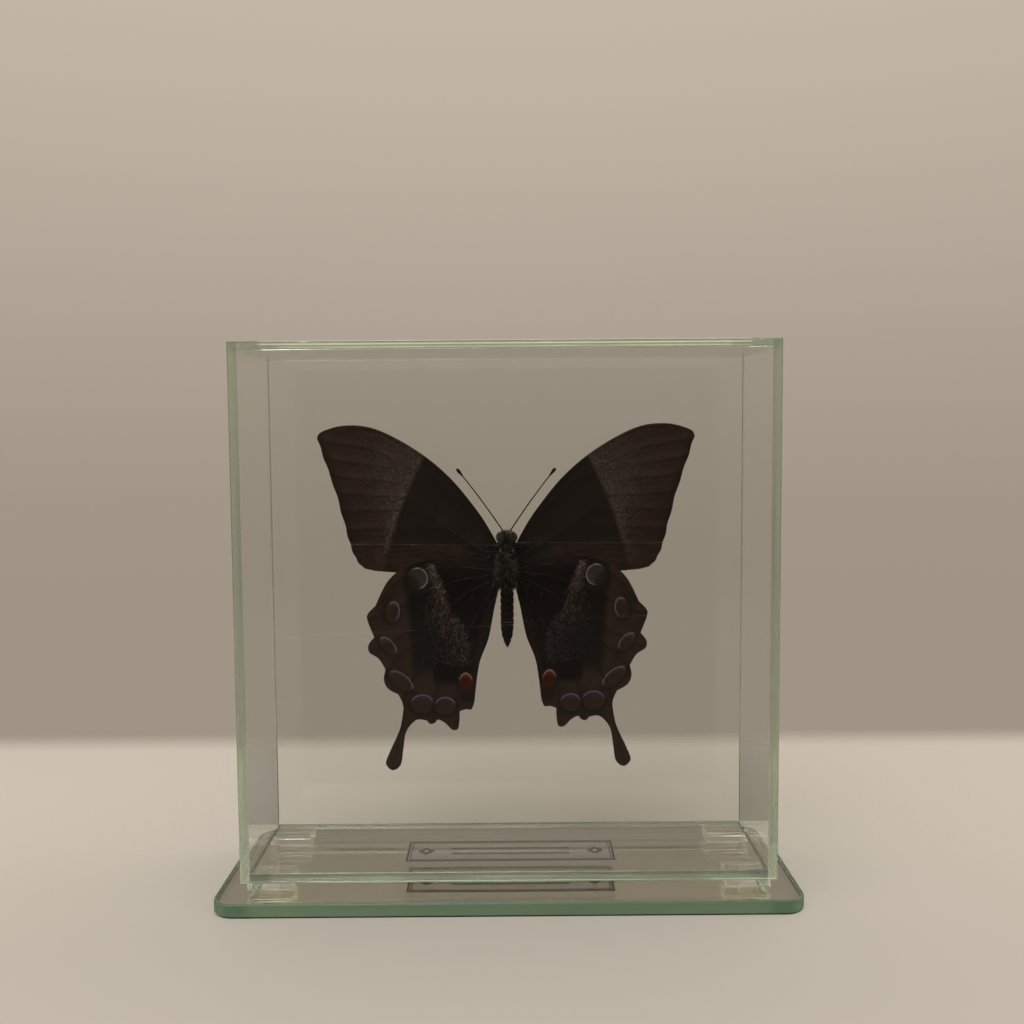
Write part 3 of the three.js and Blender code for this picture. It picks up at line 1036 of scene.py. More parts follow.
def eyespot(out, up, centre, radii, turn, glow, wrap):
    """(fill, crescent, shade, share from bottom to top) of an eyespot.

    The first radius lies along turn degrees. The crescent is on the side that faces glow, and
    a lower wrap makes it reach further round.
    """
    aside, above = out - centre[0], up - centre[1]
    cosine, sine = math.cos(math.radians(turn)), math.sin(math.radians(turn))
    u = (aside * cosine + above * sine) / radii[0]
    v = (above * cosine - aside * sine) / radii[1]
    radius = (u * u + v * v) ** 0.5
    toward_u = math.cos(math.radians(glow - turn)) * radii[0]
    toward_v = math.sin(math.radians(glow - turn)) * radii[1]
    length = math.hypot(toward_u, toward_v)
    toward = (u * (toward_u / length) + v * (toward_v / length)) / radius.most(CENTRE_GUARD)
    facing = toward.step(wrap, wrap + CRESCENT_SOFT)
    width = CRESCENT_WIDTH / min(radii)
    inner, outer = CRESCENT_INNER * width, CRESCENT_OUTER * width
    ring = radius.band(1.0 - inner, 1.0 - outer, 1.0, 1.0 + outer)
    shade = radius.band(*SHADE_RING) * (1.0 - facing)
    return radius.step(*FILL_EDGE), ring * facing, shade, above / radii[1]


# Each eyespot: centre, radii, turn, side of the crescent, colour below and above, crescent, wrap.
EYESPOTS = [
    ((26.3, -4.9), (3.0, 3.2), 0, 160, CLAY, CLAY, MILK, -0.4),
    ((33.9, -14.9), (2.1, 3.2), 12, 160, UMBER, COPPER, MAUVE, -0.3),
    ((35.3, -25.0), (3.2, 1.8), 49, 130, UMBER, COPPER, MAUVE, -0.3),
    ((31.6, -35.5), (4.3, 2.1), 39, 128, UMBER, COPPER, MAUVE, -0.2),
    ((25.4, -42.4), (3.4, 2.8), 0, 90, UMBER, VIOLET, LILAC, 0.0),
    ((18.6, -43.0), (3.1, 2.65), 0, 90, UMBER, VIOLET, LILAC, 0.0),
    ((12.3, -36.0), (2.0, 2.9), -6, 95, CRIMSON, EMBER, BLUSH, 0.0),
]
print("eyespots:", len(EYESPOTS), "on each hindwing")


# %% [markdown]
# The hindwing is wine-dark inside, with a slate band beyond and brown outside it. The seven
# eyespots are laid over that one after the other.

# %% Hindwing underside
BAND_LEAN = 0.06
BAND_INNER = (17.5, 19.0)
BAND_OUTER = (31.4, 29.0)
BAND_FOOT = (-36.0, -30.0)
INSIDE_LEAN = 0.02
INSIDE_OUT = (22.4, 20.4)
INSIDE_FOOT = (-38.0, -35.0)
WINE_RISE = (1.0, -6.0)
SPRINKLE = (0.5, 0.72)
SPRINKLE_EDGE = (22.0, 0.45)
SPRINKLE_BAND = (-1.5, 0.5, 2.0, 12.0)
SPRINKLE_FOOT = (-34.0, -28.0)
SPRINKLE_SHARE = 0.14
TAIL_RISE = (-48.0, -54.0)
HEM_LEAN = 0.22
HEM_OUT = (4.6, 2.4)
FILL_RISE = (0.15, 1.1)
# Each smudge: centre and radii of an ellipse of soot.
FRONT_SMUDGE = ((28.2, -6.4), (3.0, 3.0))
FRONT_SMUDGE_BELOW = (30.5, 33.5)
REAR_SMUDGE = ((12.0, -40.0), (2.6, 2.4))
REAR_SMUDGE_BELOW = (-38.0, -39.4)


def smudged(out, up, centre, radii):
    """The distance from an ellipse's centre, 1 on its edge."""
    return (((out - centre[0]) / radii[0]) ** 2.0 + ((up - centre[1]) / radii[1]) ** 2.0) ** 0.5


def hindwing_under():
    """The colours of a hindwing's underside."""
    graph = Graph("hindwing_under")
    out, up = wing_place(graph, HINDWING_SHIFT)
    cloud = graph.noise(graph.point(out, up, 5.0), scale=0.14, detail=3.0)
    grain = graph.noise(graph.point(out, up, 2.0), scale=2.4, detail=3.0, roughness=0.7)
    gap = graph.node("Attribute", {"attribute_name": VEIN_GAP}, output="Fac")
    outer = graph.mix(UMBER, OLIVE, cloud.step(0.4, 0.65) * 0.5)
    outer = graph.mix(outer, SOOT, gap.step(0.9, 0.3) * 0.4)
    band = (out + up * BAND_LEAN).step(*BAND_INNER) * (out - up * BAND_LEAN).step(*BAND_OUTER)
    tone = graph.mix(outer, SLATE, band * up.step(*BAND_FOOT))
    within = (out + up * INSIDE_LEAN).step(*INSIDE_OUT) * up.step(*INSIDE_FOOT)
    tone = graph.mix(tone, graph.mix(SOOT, WINE, up.step(*WINE_RISE)), within)
    from_band = out - (SPRINKLE_EDGE[0] + up * SPRINKLE_EDGE[1])
    powder = grain.step(*SPRINKLE) * within * from_band.band(*SPRINKLE_BAND) * up.step(*SPRINKLE_FOOT)
    tone = graph.mix(tone, DUST, powder * SPRINKLE_SHARE)
    tone = graph.mix(tone, TAIL, up.step(*TAIL_RISE) * 0.5)
    tone = graph.mix(tone, UMBER, (out + up * HEM_LEAN).step(*HEM_OUT) * 0.25)
    for centre, radii, turn, glow, low_tone, high_tone, crescent_tone, wrap in EYESPOTS:
        fill, crescent, shade, share = eyespot(out, up, centre, radii, turn, glow, wrap)
        fill_tone = graph.mix(low_tone, high_tone, share.step(*FILL_RISE))
        tone = graph.mix(tone, SOOT, shade * 0.8)
        tone = graph.mix(tone, fill_tone, fill * (0.5 + grain * 0.6))
        tone = graph.mix(tone, crescent_tone, crescent * (0.6 + grain * 0.6).least(1.0))
    smudge = smudged(out, up, *FRONT_SMUDGE).step(1.1, 0.7) * (out - up).step(*FRONT_SMUDGE_BELOW)
    tone = graph.mix(tone, SOOT, smudge * 0.8)
    smudge = smudged(out, up, *REAR_SMUDGE).step(1.1, 0.6) * up.step(*REAR_SMUDGE_BELOW)
    tone = graph.mix(tone, SOOT, smudge * 0.9)
    return scaled(graph, tone, out, up)


# %% [markdown]
# The upper sides are a different thing: the blue is not a dye but a structure in the scales
# that throws back blue light like a metal, framed by velvet black.

# %% Upper side colours
VELVET = srgb(14, 12, 13)
AZURE = srgb(14, 110, 232)
CYAN = srgb(56, 176, 250)
BLUE_METAL = 0.75
BLUE_SHINE = 0.25
BLUE_FRONT = (-1.0, 1.32, -0.0118)
BLUE_EDGE = (35.4, -0.24, -0.0046)
BLUE_MIDDLE = (16.0, -17.0)
BLUE_RADII = (14.0, 17.5)


def blue_side(name, shift, blue_share):
    """Velvet black with a blue field. blue_share gives the mask of the field."""
    graph = Graph(name)
    out, up = wing_place(graph, shift)
    cloud = graph.noise(graph.point(out, up, 0.0), scale=0.09, detail=2.0)
    ragged = graph.noise(graph.point(out * 0.4, up * 1.4, 1.0), scale=1.2, detail=3.0) - 0.5
    blue = blue_share(out, up, ragged)
    tone = graph.mix(VELVET, graph.mix(AZURE, CYAN, cloud.step(0.3, 0.7)), blue)
    return graph.finish(
        Base_Color=tone,
        Metallic=blue * BLUE_METAL,
        Roughness=0.62 - blue * 0.2,
        Specular_IOR_Level=BLUE_SHINE,
        Normal=scale_bump(graph, out, up),
    )


def forewing_blue(out, up, ragged):
    """Blue from the root to two thirds of the way out, black along front and outer edges."""
    front = up - edge_at(out, BLUE_FRONT)
    outward = out - edge_at(up, BLUE_EDGE) + ragged * 5.0
    return front.step(-1.0, -3.0) * outward.step(0.8, -0.8) * out.step(4.0, 8.0)


def hindwing_blue(out, up, ragged):
    """Blue over the middle, black in a broad hem around it."""
    radius = smudged(out, up, BLUE_MIDDLE, BLUE_RADII) + ragged * 0.18
    return radius.step(1.06, 0.98) * out.step(5.0, 9.0)


# %% [markdown]
# Veins are dark horn. Toward the body many show pale grey in patches: painted highlights, where
# the veins catch the light.

# %% Vein colours
VEIN_LOW = srgb(20, 14, 11)
VEIN_HIGH = srgb(34, 25, 20)
# Pale grey for painted highlights on the veins near the body.
VEIN_HIGHLIGHT = srgb(78, 74, 66)
HIGHLIGHT_OUT = (26.0, 12.0)
FRONT_SLOPE = 0.85


def vein_finish():
    """Dark veins, with pale painted highlights in patches toward the body."""
    graph = Graph("vein")
    x, y, z = graph.place()
    grain = graph.noise(graph.point(x, y, z), scale=1.5, detail=2.0)
    patches = graph.noise(graph.point(x, y, z), scale=0.22, detail=2.0).step(0.3, 0.6)
    below_front = (z - MIDDLE_LEVEL - abs(x) * FRONT_SLOPE).step(1.0, -1.0)
    # Painted highlights: pale patches on the veins toward the body, not along the front edge.
    highlight = abs(x).step(*HIGHLIGHT_OUT) * grain.step(0.3, 0.55) * patches * below_front
    tone = graph.mix(graph.mix(VEIN_LOW, VEIN_HIGH, grain), VEIN_HIGHLIGHT, highlight)
    return graph.finish(Base_Color=tone, Roughness=0.75, Specular_IOR_Level=0.15)


# %% [markdown]
# Only the right wings are made. The left ones will be mirrored copies, once the pale scales
# and the hair at the roots lie on them.

# %% Right wings
vein = vein_finish()
forewing_finishes = (forewing_under(), blue_side("forewing_upper", 0.0, forewing_blue), vein)
hindwing_finishes = (hindwing_under(), blue_side("hindwing_upper", HINDWING_SHIFT, hindwing_blue), vein)
forewing_border = border_points(FOREWING_BORDER, scalloped=1)
hindwing_border = border_points(HINDWING_BORDER)


def middle_depth(node):
    """The y of the middle of a frame solid, in millimetres."""
    low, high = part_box(node)
    return (low.y + high.y) / 2 / MM


forewing_depth = middle_depth("right_forewing")
hindwing_depth = middle_depth("right_hindwing")
right_forewing = wing(
    "right_forewing_skin", forewing_border, FOREWING_VEINS, forewing_depth, 0.0, forewing_finishes,
)
right_hindwing = wing(
    "right_hindwing_skin", hindwing_border, HINDWING_VEINS, hindwing_depth, HINDWING_SHIFT,
    hindwing_finishes,
)

# %% [markdown]
# ## Hair
# A particle system would be lost when the model leaves Blender, so each hair is real mesh.
# One hair is modelled: a three-sided cone with a ring halfway, where it can bend. Its few
# points are then laid out again and again by array maths, each time with another root,
# direction, length and bend. The random numbers start from a fixed seed.

# %% One hair and many
HAIR_SIDES = 3
HAIR_BEND = 0.5
HAIR_BELLY = 1.55
HAIR_TWIST = (0.31, 0.87, 0.39)
SEED = 23


def one_hair():
    """Points and faces of a hair one unit long and one unit in radius, standing on z = 0."""
    bpy.ops.object.select_all(action="DESELECT")
    bpy.ops.mesh.primitive_cone_add(
        vertices=HAIR_SIDES, radius1=1, radius2=0, depth=1, location=(0, 0, HAIR_BEND),
    )
    hair = bpy.context.object
    settle(hair)
    select(hair, "FACE", lambda face: True)
    bpy.ops.mesh.bisect(plane_co=(0, 0, HAIR_BEND), plane_no=(0, 0, 1))
    leave()
    select(hair, "VERT", lambda vertex: abs(vertex.co.z - HAIR_BEND) < 0.1)
    bpy.ops.transform.resize(value=(HAIR_BELLY, HAIR_BELLY, 1), center_override=(0, 0, HAIR_BEND))
    leave()
    points = np.array([vertex.co for vertex in hair.data.vertices])
    faces = [list(face.vertices) for face in hair.data.polygons]
    bpy.data.objects.remove(hair)
    return points, faces


HAIR_POINTS, HAIR_FACES = one_hair()


def unit(vectors):
    """The same directions, each one unit long."""
    return vectors / np.linalg.norm(vectors, axis=1, keepdims=True)


def hairs(name, roots, directions, lengths, thickness, bends, materials, share=None):
    """Hairs as one piece, in millimetres. share is how likely a hair has the second material."""
    directions = unit(directions)
    aside = unit(np.cross(directions, np.array(HAIR_TWIST)))
    across = np.cross(directions, aside)
    count = len(roots)
    x, y, z = HAIR_POINTS.T
    lengths = np.broadcast_to(lengths, count)[:, None, None]
    thickness = np.broadcast_to(thickness, count)[:, None, None]
    places = (
        roots[:, None, :]
        + aside[:, None, :] * x[None, :, None] * thickness
        + across[:, None, :] * y[None, :, None] * thickness
        + directions[:, None, :] * z[None, :, None] * lengths
        + bends[:, None, :] * z[None, :, None] ** 2 * lengths
    )
    steps = np.arange(count) * len(HAIR_POINTS)
    faces = [[corner + step for corner in face] for step in steps for face in HAIR_FACES]
    mesh = bpy.data.meshes.new(name)
    mesh.from_pydata((places * MM).reshape(-1, 3).tolist(), [], faces)
    piece = bpy.data.objects.new(name, mesh)
    bpy.context.collection.objects.link(piece)
    for material in materials:
        mesh.materials.append(material)
    if share is not None:
        second = chance.random(count) < share
        mesh.polygons.foreach_set("material_index", np.repeat(second, len(HAIR_FACES)).astype(int))
    return piece


chance = np.random.default_rng(SEED)
print("one hair:", len(HAIR_POINTS), "points,", len(HAIR_FACES), "faces")

# %% [markdown]
# ## Dusting on the wings
# Most scales lie flat and are far too fine to model. Some rows of long pale scales stand a
# little off the wing and catch the light, in a fan along the forewing's brown border and in
# a band over the hindwing. Those are laid as short hairs along the veins.

# %% Horn and hair finishes
HORN_BUMP = 0.4
HORN_PITS = 0.00006
HORN_SHINE = 0.12
HORN_MOTTLE = (0.35, 0.7)
HAIR_SCALE = 2.2
HAIR_DRAWN = 0.16


def horn_finish(name, dark, light, roughness, scale, coat=0.0, drawn=1.0):
    """Insect horn: dark, finely mottled, softly shining. A small drawn makes upright streaks."""
    graph = Graph(name)
    x, y, z = graph.place()
    mottle = graph.noise(graph.point(x, y, z * drawn), scale, detail=3.0, roughness=0.6)
    pits = graph.noise(graph.point(x, y, z), scale * 6, detail=2.0)
    bump = graph.node("Bump", sockets={"Strength": HORN_BUMP, "Distance": HORN_PITS, "Height": pits})
    return graph.finish(
        Base_Color=graph.mix(dark, light, mottle.step(*HORN_MOTTLE)),
        Roughness=roughness + pits * 0.2,
        Specular_IOR_Level=HORN_SHINE,
        Coat_Weight=coat,
        Normal=bump,
    )


def hair_finish(name, dark, light, roughness):
    """Hair, with streaks along it."""
    return horn_finish(name, dark, light, roughness, HAIR_SCALE, drawn=HAIR_DRAWN)


pale_scale = horn_finish("pale_scale", srgb(96, 78, 68), srgb(178, 152, 135), 0.7, 1.2)
dark_hair = hair_finish("dark_hair", srgb(30, 26, 21), srgb(64, 56, 46), 0.7)
pale_hair = hair_finish("pale_hair", srgb(92, 86, 72), srgb(176, 162, 136), 0.6)
print("finishes:", pale_scale.name, dark_hair.name, pale_hair.name)

# %% [markdown]
# The spots are drawn at random, thick along a line and thinning out from it, and those that
# fall beside the wing are dropped. At the wing's root the scales give way to long dark hair.

# %% Where the scales stand
STROKE = 0.027
STROKE_LIFT = 0.06
STROKE_SPREAD = 0.45
FAN_UP = (2, 37)
FAN_REACH = (1.5, 12.0)
FAN_FADE = 0.42
FAN_LEAST = 0.12
FAN_HEM = 45.8
FAN_HEM_UNREST = 0.5
BAND_SPREAD = (0.6, 14.0)
BAND_WIDENING = (0.12, 0.46)
BAND_FADE = 0.8
BAND_END = -31
BAND_SIDE = 22.6
BAND_UNREST = 1.5
ROOT_START = 2.4
ROOT_FADE = 1.8
ROOT_END = 10.0


def inside(border, spots):
    """Which spots lie inside a closed border, by counting crossings."""
    border = np.array(border)
    result = np.zeros(len(spots), bool)
    for (x1, y1), (x2, y2) in zip(border, np.roll(border, -1, axis=0)):
        if y1 == y2:
            continue
        crosses = (spots[:, 1] < y1) != (spots[:, 1] < y2)
        result ^= crosses & (spots[:, 0] < (x2 - x1) * (spots[:, 1] - y1) / (y2 - y1) + x1)
    return result


def forewing_dusting(count):
    """Spots for pale scales beyond the forewing's inner border, thicker near its front."""
    up = chance.uniform(*FAN_UP, count)
    reach = FAN_REACH[0] + FAN_REACH[1] * np.clip((up - 4) / 26, 0, 1) ** 1.2
    out = edge_at(up, PALE_EDGE) + chance.normal(0, STROKE_SPREAD, count)
    out += reach * chance.exponential(FAN_FADE, count)
    thick = np.clip((up - 2) / 28, 0, 1) ** 1.3
    kept = chance.random(count) < FAN_LEAST + (1 - FAN_LEAST) * thick
    spots = np.column_stack([out, up])[kept]
    rim = FAN_HEM + chance.normal(0, FAN_HEM_UNREST, len(spots))
    return spots[inside(forewing_border, spots) & (spots[:, 0] < rim)]


HINDWING_BAND = [
    (21.7, -1.0), (20.8, -3.9), (18.4, -8.0), (16.8, -14.1), (12.9, -19.1), (11.0, -24.8), (11.4, -30.5),
]


def hindwing_dusting(count):
    """Spots for pale scales along the hindwing's band, scattered outward from it."""
    path = np.array(smooth_path(HINDWING_BAND, 10))
    along = chance.random(count) * (len(path) - 1)
    low = along.astype(int)
    spots = path[low] + (path[low + 1] - path[low]) * (along - low)[:, None]
    widening = np.clip(along / len(path) - BAND_WIDENING[0], 0, BAND_WIDENING[1])
    spread = BAND_SPREAD[0] + BAND_SPREAD[1] * widening
    spots[:, 0] += spread * chance.exponential(BAND_FADE, count)
    spots += chance.normal(0, STROKE_SPREAD, (count, 2))
    rim = chance.normal(0, BAND_UNREST, (count, 2))
    kept = (spots[:, 1] > BAND_END + rim[:, 0]) & (spots[:, 0] < BAND_SIDE + rim[:, 1])
    return spots[inside(hindwing_border, spots) & kept]


def lay_scales(name, spots, veins, depth, shift, centre, lengths, lift, materials, share=None):
    """Scales or hairs on a right wing's underside, lift off it, pointing away from centre."""
    level = depth + stand_off(vein_paths(veins), spots) - BLADE / 2 - lift
    roots = np.column_stack([spots[:, 0], level, MIDDLE_LEVEL + spots[:, 1] + shift])
    away = spots - np.array(centre)
    flat = np.column_stack([away[:, 0], np.zeros(len(spots)), away[:, 1]])
    count = len(spots)
    directions = unit(flat) + chance.normal(0, 0.10, (count, 3)) * np.array([1, 0.3, 1])
    lengths = chance.uniform(*lengths, count)
    bends = np.zeros((count, 3))
    return hairs(name, roots, directions, lengths, STROKE, bends, materials, share)


def root_spots(border, count, low, high):
    """Spots for the long hair at a wing's root, which thins out from the body."""
    out = ROOT_START + chance.exponential(ROOT_FADE, count)
    up = chance.uniform(low, high, count)
    spots = np.column_stack([out, up])
    return spots[inside(border, spots) & (out < ROOT_END)]


def mirrored(piece, name, lift=0.0):
    """A copy of a piece on the other side, with its own mesh, moved up by lift millimetres."""
    only(piece)
    bpy.ops.object.duplicate()
    copy = bpy.context.object
    copy.name = name
    copy.data.name = name
    select(copy, "FACE", lambda face: True)
    bpy.ops.transform.resize(value=(-1, 1, 1), center_override=(0, 0, 0))
    bpy.ops.transform.translate(value=(0, 0, lift * MM))
    bpy.ops.mesh.normals_make_consistent(inside=False)
    leave()
    return copy


# %% [markdown]
# Each wing is joined with what stands on it, and then copied to the other side. In a mirrored
# mesh the faces point inward, so their normals are worked out again.

# %% Wings with dusting, and their mirrored copies
FOREWING_SCALES = 12500
FOREWING_FAN = (8.0, 12.0)
FOREWING_LENGTHS = (0.22, 0.6)
HINDWING_SCALES = 3900
HINDWING_FAN = (8.0, 8.0)
HINDWING_LENGTHS = (0.35, 1.0)
ROOT_CENTRE = (0.0, 2.5)
ROOT_LENGTHS = (1.0, 2.4)
ROOT_LIFT = 0.16
ROOT_PALE = 0.04
FOREWING_ROOT = (900, -5.0, 4.0)
HINDWING_ROOT = (700, -12.0, -3.0)

dusting = lay_scales(
    "forewing_dusting", forewing_dusting(FOREWING_SCALES), FOREWING_VEINS, forewing_depth, 0.0,
    FOREWING_FAN, FOREWING_LENGTHS, STROKE_LIFT, [pale_scale],
)
root_hair = lay_scales(
    "forewing_root_hair", root_spots(forewing_border, *FOREWING_ROOT), FOREWING_VEINS,
    forewing_depth, 0.0, ROOT_CENTRE, ROOT_LENGTHS, ROOT_LIFT, [dark_hair, pale_hair], ROOT_PALE,
)
join("right_forewing_skin", [right_forewing, dusting, root_hair])
dusting = lay_scales(
    "hindwing_dusting", hindwing_dusting(HINDWING_SCALES), HINDWING_VEINS, hindwing_depth,
    HINDWING_SHIFT, HINDWING_FAN, HINDWING_LENGTHS, STROKE_LIFT, [pale_scale],
)
root_hair = lay_scales(
    "hindwing_root_hair", root_spots(hindwing_border, *HINDWING_ROOT), HINDWING_VEINS,
    hindwing_depth, HINDWING_SHIFT, ROOT_CENTRE, ROOT_LENGTHS, ROOT_LIFT, [dark_hair, pale_hair], ROOT_PALE,
)
join("right_hindwing_skin", [right_hindwing, dusting, root_hair])
left_forewing = mirrored(right_forewing, "left_forewing_skin")
left_hindwing = mirrored(right_hindwing, "left_hindwing_skin", lift=-2 * HINDWING_SHIFT)
for piece, node in (
    (right_forewing, "right_forewing"),
    (left_forewing, "left_forewing"),
    (right_hindwing, "right_hindwing"),
    (left_hindwing, "left_hindwing"),
):
    place(piece, node, "wing_scales")

# %% [markdown]
# ## Body
# The body is horn under fur. Each part gets a core that is shaped first, a little smaller
# than the solid that it stands for, and then hair, which is rooted on ellipsoids and combed.

# %% Body finishes
BODY_Y = -1.5
body_middle = np.array([0, BODY_Y, MIDDLE_LEVEL])
body_horn = horn_finish("body_horn", srgb(21, 14, 12), srgb(46, 30, 25), 0.75, 0.8)
eye_horn = horn_finish("eye_horn", srgb(18, 11, 9), srgb(38, 25, 19), 0.25, 3.0, coat=0.3)
limb_horn = horn_finish("limb_horn", srgb(22, 16, 13), srgb(46, 36, 29), 0.4, 1.5, coat=0.15)
feeler_horn = horn_finish("feeler_horn", srgb(44, 30, 20), srgb(74, 52, 34), 0.5, 2.0)
club_horn = horn_finish("club_horn", srgb(14, 10, 8), srgb(28, 20, 16), 0.5, 2.0, coat=0.1)
# A brighter copy of the pale hair, for the face: painted light, which lifts the shaded face.
lit_face_hair = hair_finish("lit_face_hair", srgb(120, 106, 88), srgb(228, 210, 182), 0.6)
belly_hair = horn_finish("belly_hair", srgb(24, 15, 13), srgb(62, 38, 31), 0.8, 0.9)
BALL_SEGMENTS = 32
BALL_RINGS = 20
FUR_RISE = 0.34
FUR_UNREST = 0.10
FUR_SPREAD = (0.6, 1.25)
FUR_THICKNESS = (0.026, 0.048)
FUR_DEPTH = 0.1
print("body finishes:", len(bpy.data.materials), "materials so far")


def ball(name, centre, radii):
    """A smooth ellipsoid, in millimetres from the middle of the thorax."""
    bpy.ops.object.select_all(action="DESELECT")
    bpy.ops.mesh.primitive_uv_sphere_add(
        segments=BALL_SEGMENTS,
        ring_count=BALL_RINGS,
        radius=1,
        location=Vector(body_middle + np.array(centre)) * MM,
        scale=Vector(radii) * MM,
    )
    piece = bpy.context.object
    piece.name = name
    settle(piece)
    bpy.ops.object.shade_smooth()
    return piece


def fur(name, centre, radii, count, length, combed, materials, share):
    """Hair rooted on an ellipsoid. combed is added to the direction that its surface faces.

    share is a number, or a function of how far the roots stand to the side.
    """
    facing = unit(chance.normal(0, 1, (count, 3)))
    roots = body_middle + np.array(centre) + facing * np.array(radii)
    normals = unit(facing / np.array(radii))
    lean = combed(facing)
    directions = unit(normals * FUR_RISE + lean + chance.normal(0, FUR_UNREST, (count, 3)))
    lengths = length * chance.uniform(*FUR_SPREAD, count)
    bends = (lean - directions) * 0.25 + chance.normal(0, 0.06, (count, 3))
    thickness = chance.uniform(*FUR_THICKNESS, count)
    if callable(share):
        share = share(roots[:, 0])
    roots -= directions * FUR_DEPTH
    return hairs(name, roots, directions, lengths, thickness, bends, materials, share)


# %% [markdown]
# The chest is a ball with plates at its sides, a neck, a collar behind the head and two hips.
# Its hair is dark, with a pale band along each side, and it fans out over the wing roots, so
# that wings and chest run into each other.

# %% Thorax
THORAX_AT = (0, 0, -2.1)
THORAX_CORE = (2.85, 2.9, 6.2)


def in_bands(aside):
    """A pale band along each side of the chest, and a narrow one near its middle."""
    band = np.exp(-(((abs(aside) - 2.1) / 0.5) ** 2))
    middle = np.exp(-(((aside + 0.3) / 0.25) ** 2))
    return 0.2 + 0.45 * band + 0.3 * middle


def combed_back(facing):
    """Down the chest, and a little to its sides."""
    return np.column_stack([facing[:, 0] * 0.35, facing[:, 1] * 0.1, np.full(len(facing), -0.95)])


def fan_right(facing):
    """Out over the root of the right wing."""
    outward = np.full(len(facing), 0.85)
    return np.column_stack([outward, facing[:, 1] * 0.1 - 0.15, facing[:, 2] * 0.5 - 0.6])


def fan_left(facing):
    """Out over the root of the left wing."""
    return fan_right(facing) * np.array([-1, 1, 1])


chest = ball("thorax_fur", THORAX_AT, THORAX_CORE)
paint(chest, body_horn, pale_hair, dark_hair)
plates = [
    ball("side_plate", (side * 1.5, -1.2, level), (0.95, 1.15, 1.5))
    for side in (-1, 1)
    for level in (1.2, -1.6, -4.6)
]
plates.append(ball("neck", (0, 0, 4.4), (1.75, 1.7, 1.6)))
plates.append(ball("collar", (0, 0.1, 4.8), (2.95, 1.85, 1.15)))
plates += [ball("hip", (side * 1.5, 0.1, -6.4), (1.15, 1.5, 1.5)) for side in (-1, 1)]
for plate in plates:
    paint(plate, body_horn)
mostly_dark = [dark_hair, pale_hair]
coat = [
    fur("under_fur", THORAX_AT, THORAX_CORE, 5600, 1.3, combed_back, mostly_dark, in_bands),
    fur("over_fur", THORAX_AT, THORAX_CORE, 900, 2.4, combed_back, [pale_hair, dark_hair], 0.45),
    fur("neck_fur", (0, 0, 4.3), (1.85, 1.8, 1.7), 900, 0.9, combed_back, mostly_dark, 0.4),
    fur("collar_fur", (0, 0.1, 4.8), (3.0, 1.9, 1.2), 1300, 0.8, combed_back, mostly_dark, 0.3),
]
for side, fan in ((-1, fan_left), (1, fan_right)):
    for level in (0.4, -2.0, -4.6):
        at = (side * 1.8, 0.2, level)
        coat.append(fur("shoulder_fur", at, (0.9, 1.5, 2.2), 420, 1.5, fan, mostly_dark, 0.08))
for side in (-1, 1):
    at = (side * 1.6, 0.1, -6.3)
    coat.append(fur("hip_fur", at, (1.2, 1.5, 1.6), 420, 1.3, combed_back, mostly_dark, 0.2))
join("thorax_fur", [chest, *plates, *coat])
place(chest, "thorax", "body_hair")

# %% [markdown]
# Tufts of hair stand side by side on the face, pale and dark in turn, and hide the mouth. Two
# short palps lie in front of it. All of it is combed up and out, to the crown. The pale tufts
# are a brighter copy of the pale hair: painted light on the face, which stands in shade.

# %% Head
HEAD_AT = (0, 0, 6.6)
HEAD_CORE = (2.6, 2.0, 1.9)
TUFT_WIDTH = 0.72


def in_tufts(aside):
    """Pale and dark tufts side by side."""
    return 0.5 + 0.5 * np.sin(aside * 2 * math.pi / TUFT_WIDTH)


def combed_out(facing):
    """Over the face, the hair parts and runs up to the crown."""
    return np.column_stack([facing[:, 0] * 0.45, facing[:, 1] * 0.15, np.full(len(facing), 0.8)])


face = ball("head_fur", HEAD_AT, HEAD_CORE)
paint(face, body_horn)
PALP_RADII = np.interp(np.linspace(0, 1, 13), [0, 0.4, 0.8, 1], [0.28, 0.42, 0.34, 0.12])
tufts = []
for side in (-1, 1):
    corners = [
        (side * 0.5, -1.5, 5.5), (side * 0.65, -2.1, 6.4), (side * 0.6, -1.95, 7.7), (side * 0.5, -1.4, 8.5),
    ]
    path = [body_middle + np.array(p) for p in smooth_path(corners, 4)]
    tufts.append(paint(tube("palp", path, PALP_RADII), body_horn))
beard = [fur("face_fur", HEAD_AT, HEAD_CORE, 2400, 0.9, combed_out, [dark_hair, lit_face_hair], in_tufts)]
for aside in (-1.35, -0.5, 0.5, 1.35):
    at = (aside, -1.75, 6.8)
    beard.append(
        fur("palp_fur", at, (0.3, 0.4, 1.5), 260, 0.8, combed_out, [lit_face_hair, dark_hair], in_tufts)
    )
for aside in (-1.6, 1.6):
    at = (aside, -1.5, 6.5)
    beard.append(
        fur("cheek_fur", at, (1.1, 1.1, 1.6), 480, 0.8, combed_out, [dark_hair, lit_face_hair], in_tufts)
    )
join("head_fur", [face, *tufts, *beard])
place(face, "head", "body_hair")

# %% [markdown]
# ## Eyes
# A butterfly's eye is a half ball of thousands of facets. A ball of dark horn, with fine pits
# and a thin coat for its gloss, is enough at this size. The hair of the face stands round it.

# %% Eyes
eye_low, eye_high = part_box("right_eye")
eye_centre = np.array((eye_low + eye_high) / 2) / MM - body_middle
eye_radius = (eye_high.x - eye_low.x) / 2 / MM
right_eye = ball("right_eye_ball", eye_centre, (eye_radius * 0.94, eye_radius * 0.98, eye_radius))
paint(right_eye, eye_horn)
left_eye = mirrored(right_eye, "left_eye_ball")
place(right_eye, "right_eye", "dark_horn")
place(left_eye, "left_eye", "dark_horn")

# %% [markdown]
# ## Abdomen
# Eight rings of horn with soft joints between them. A circle is extruded down the belly
# step by step, and each new step is scaled: full in the middle of a segment, drawn in at
# its joint. At the tip it narrows nearly to a point.

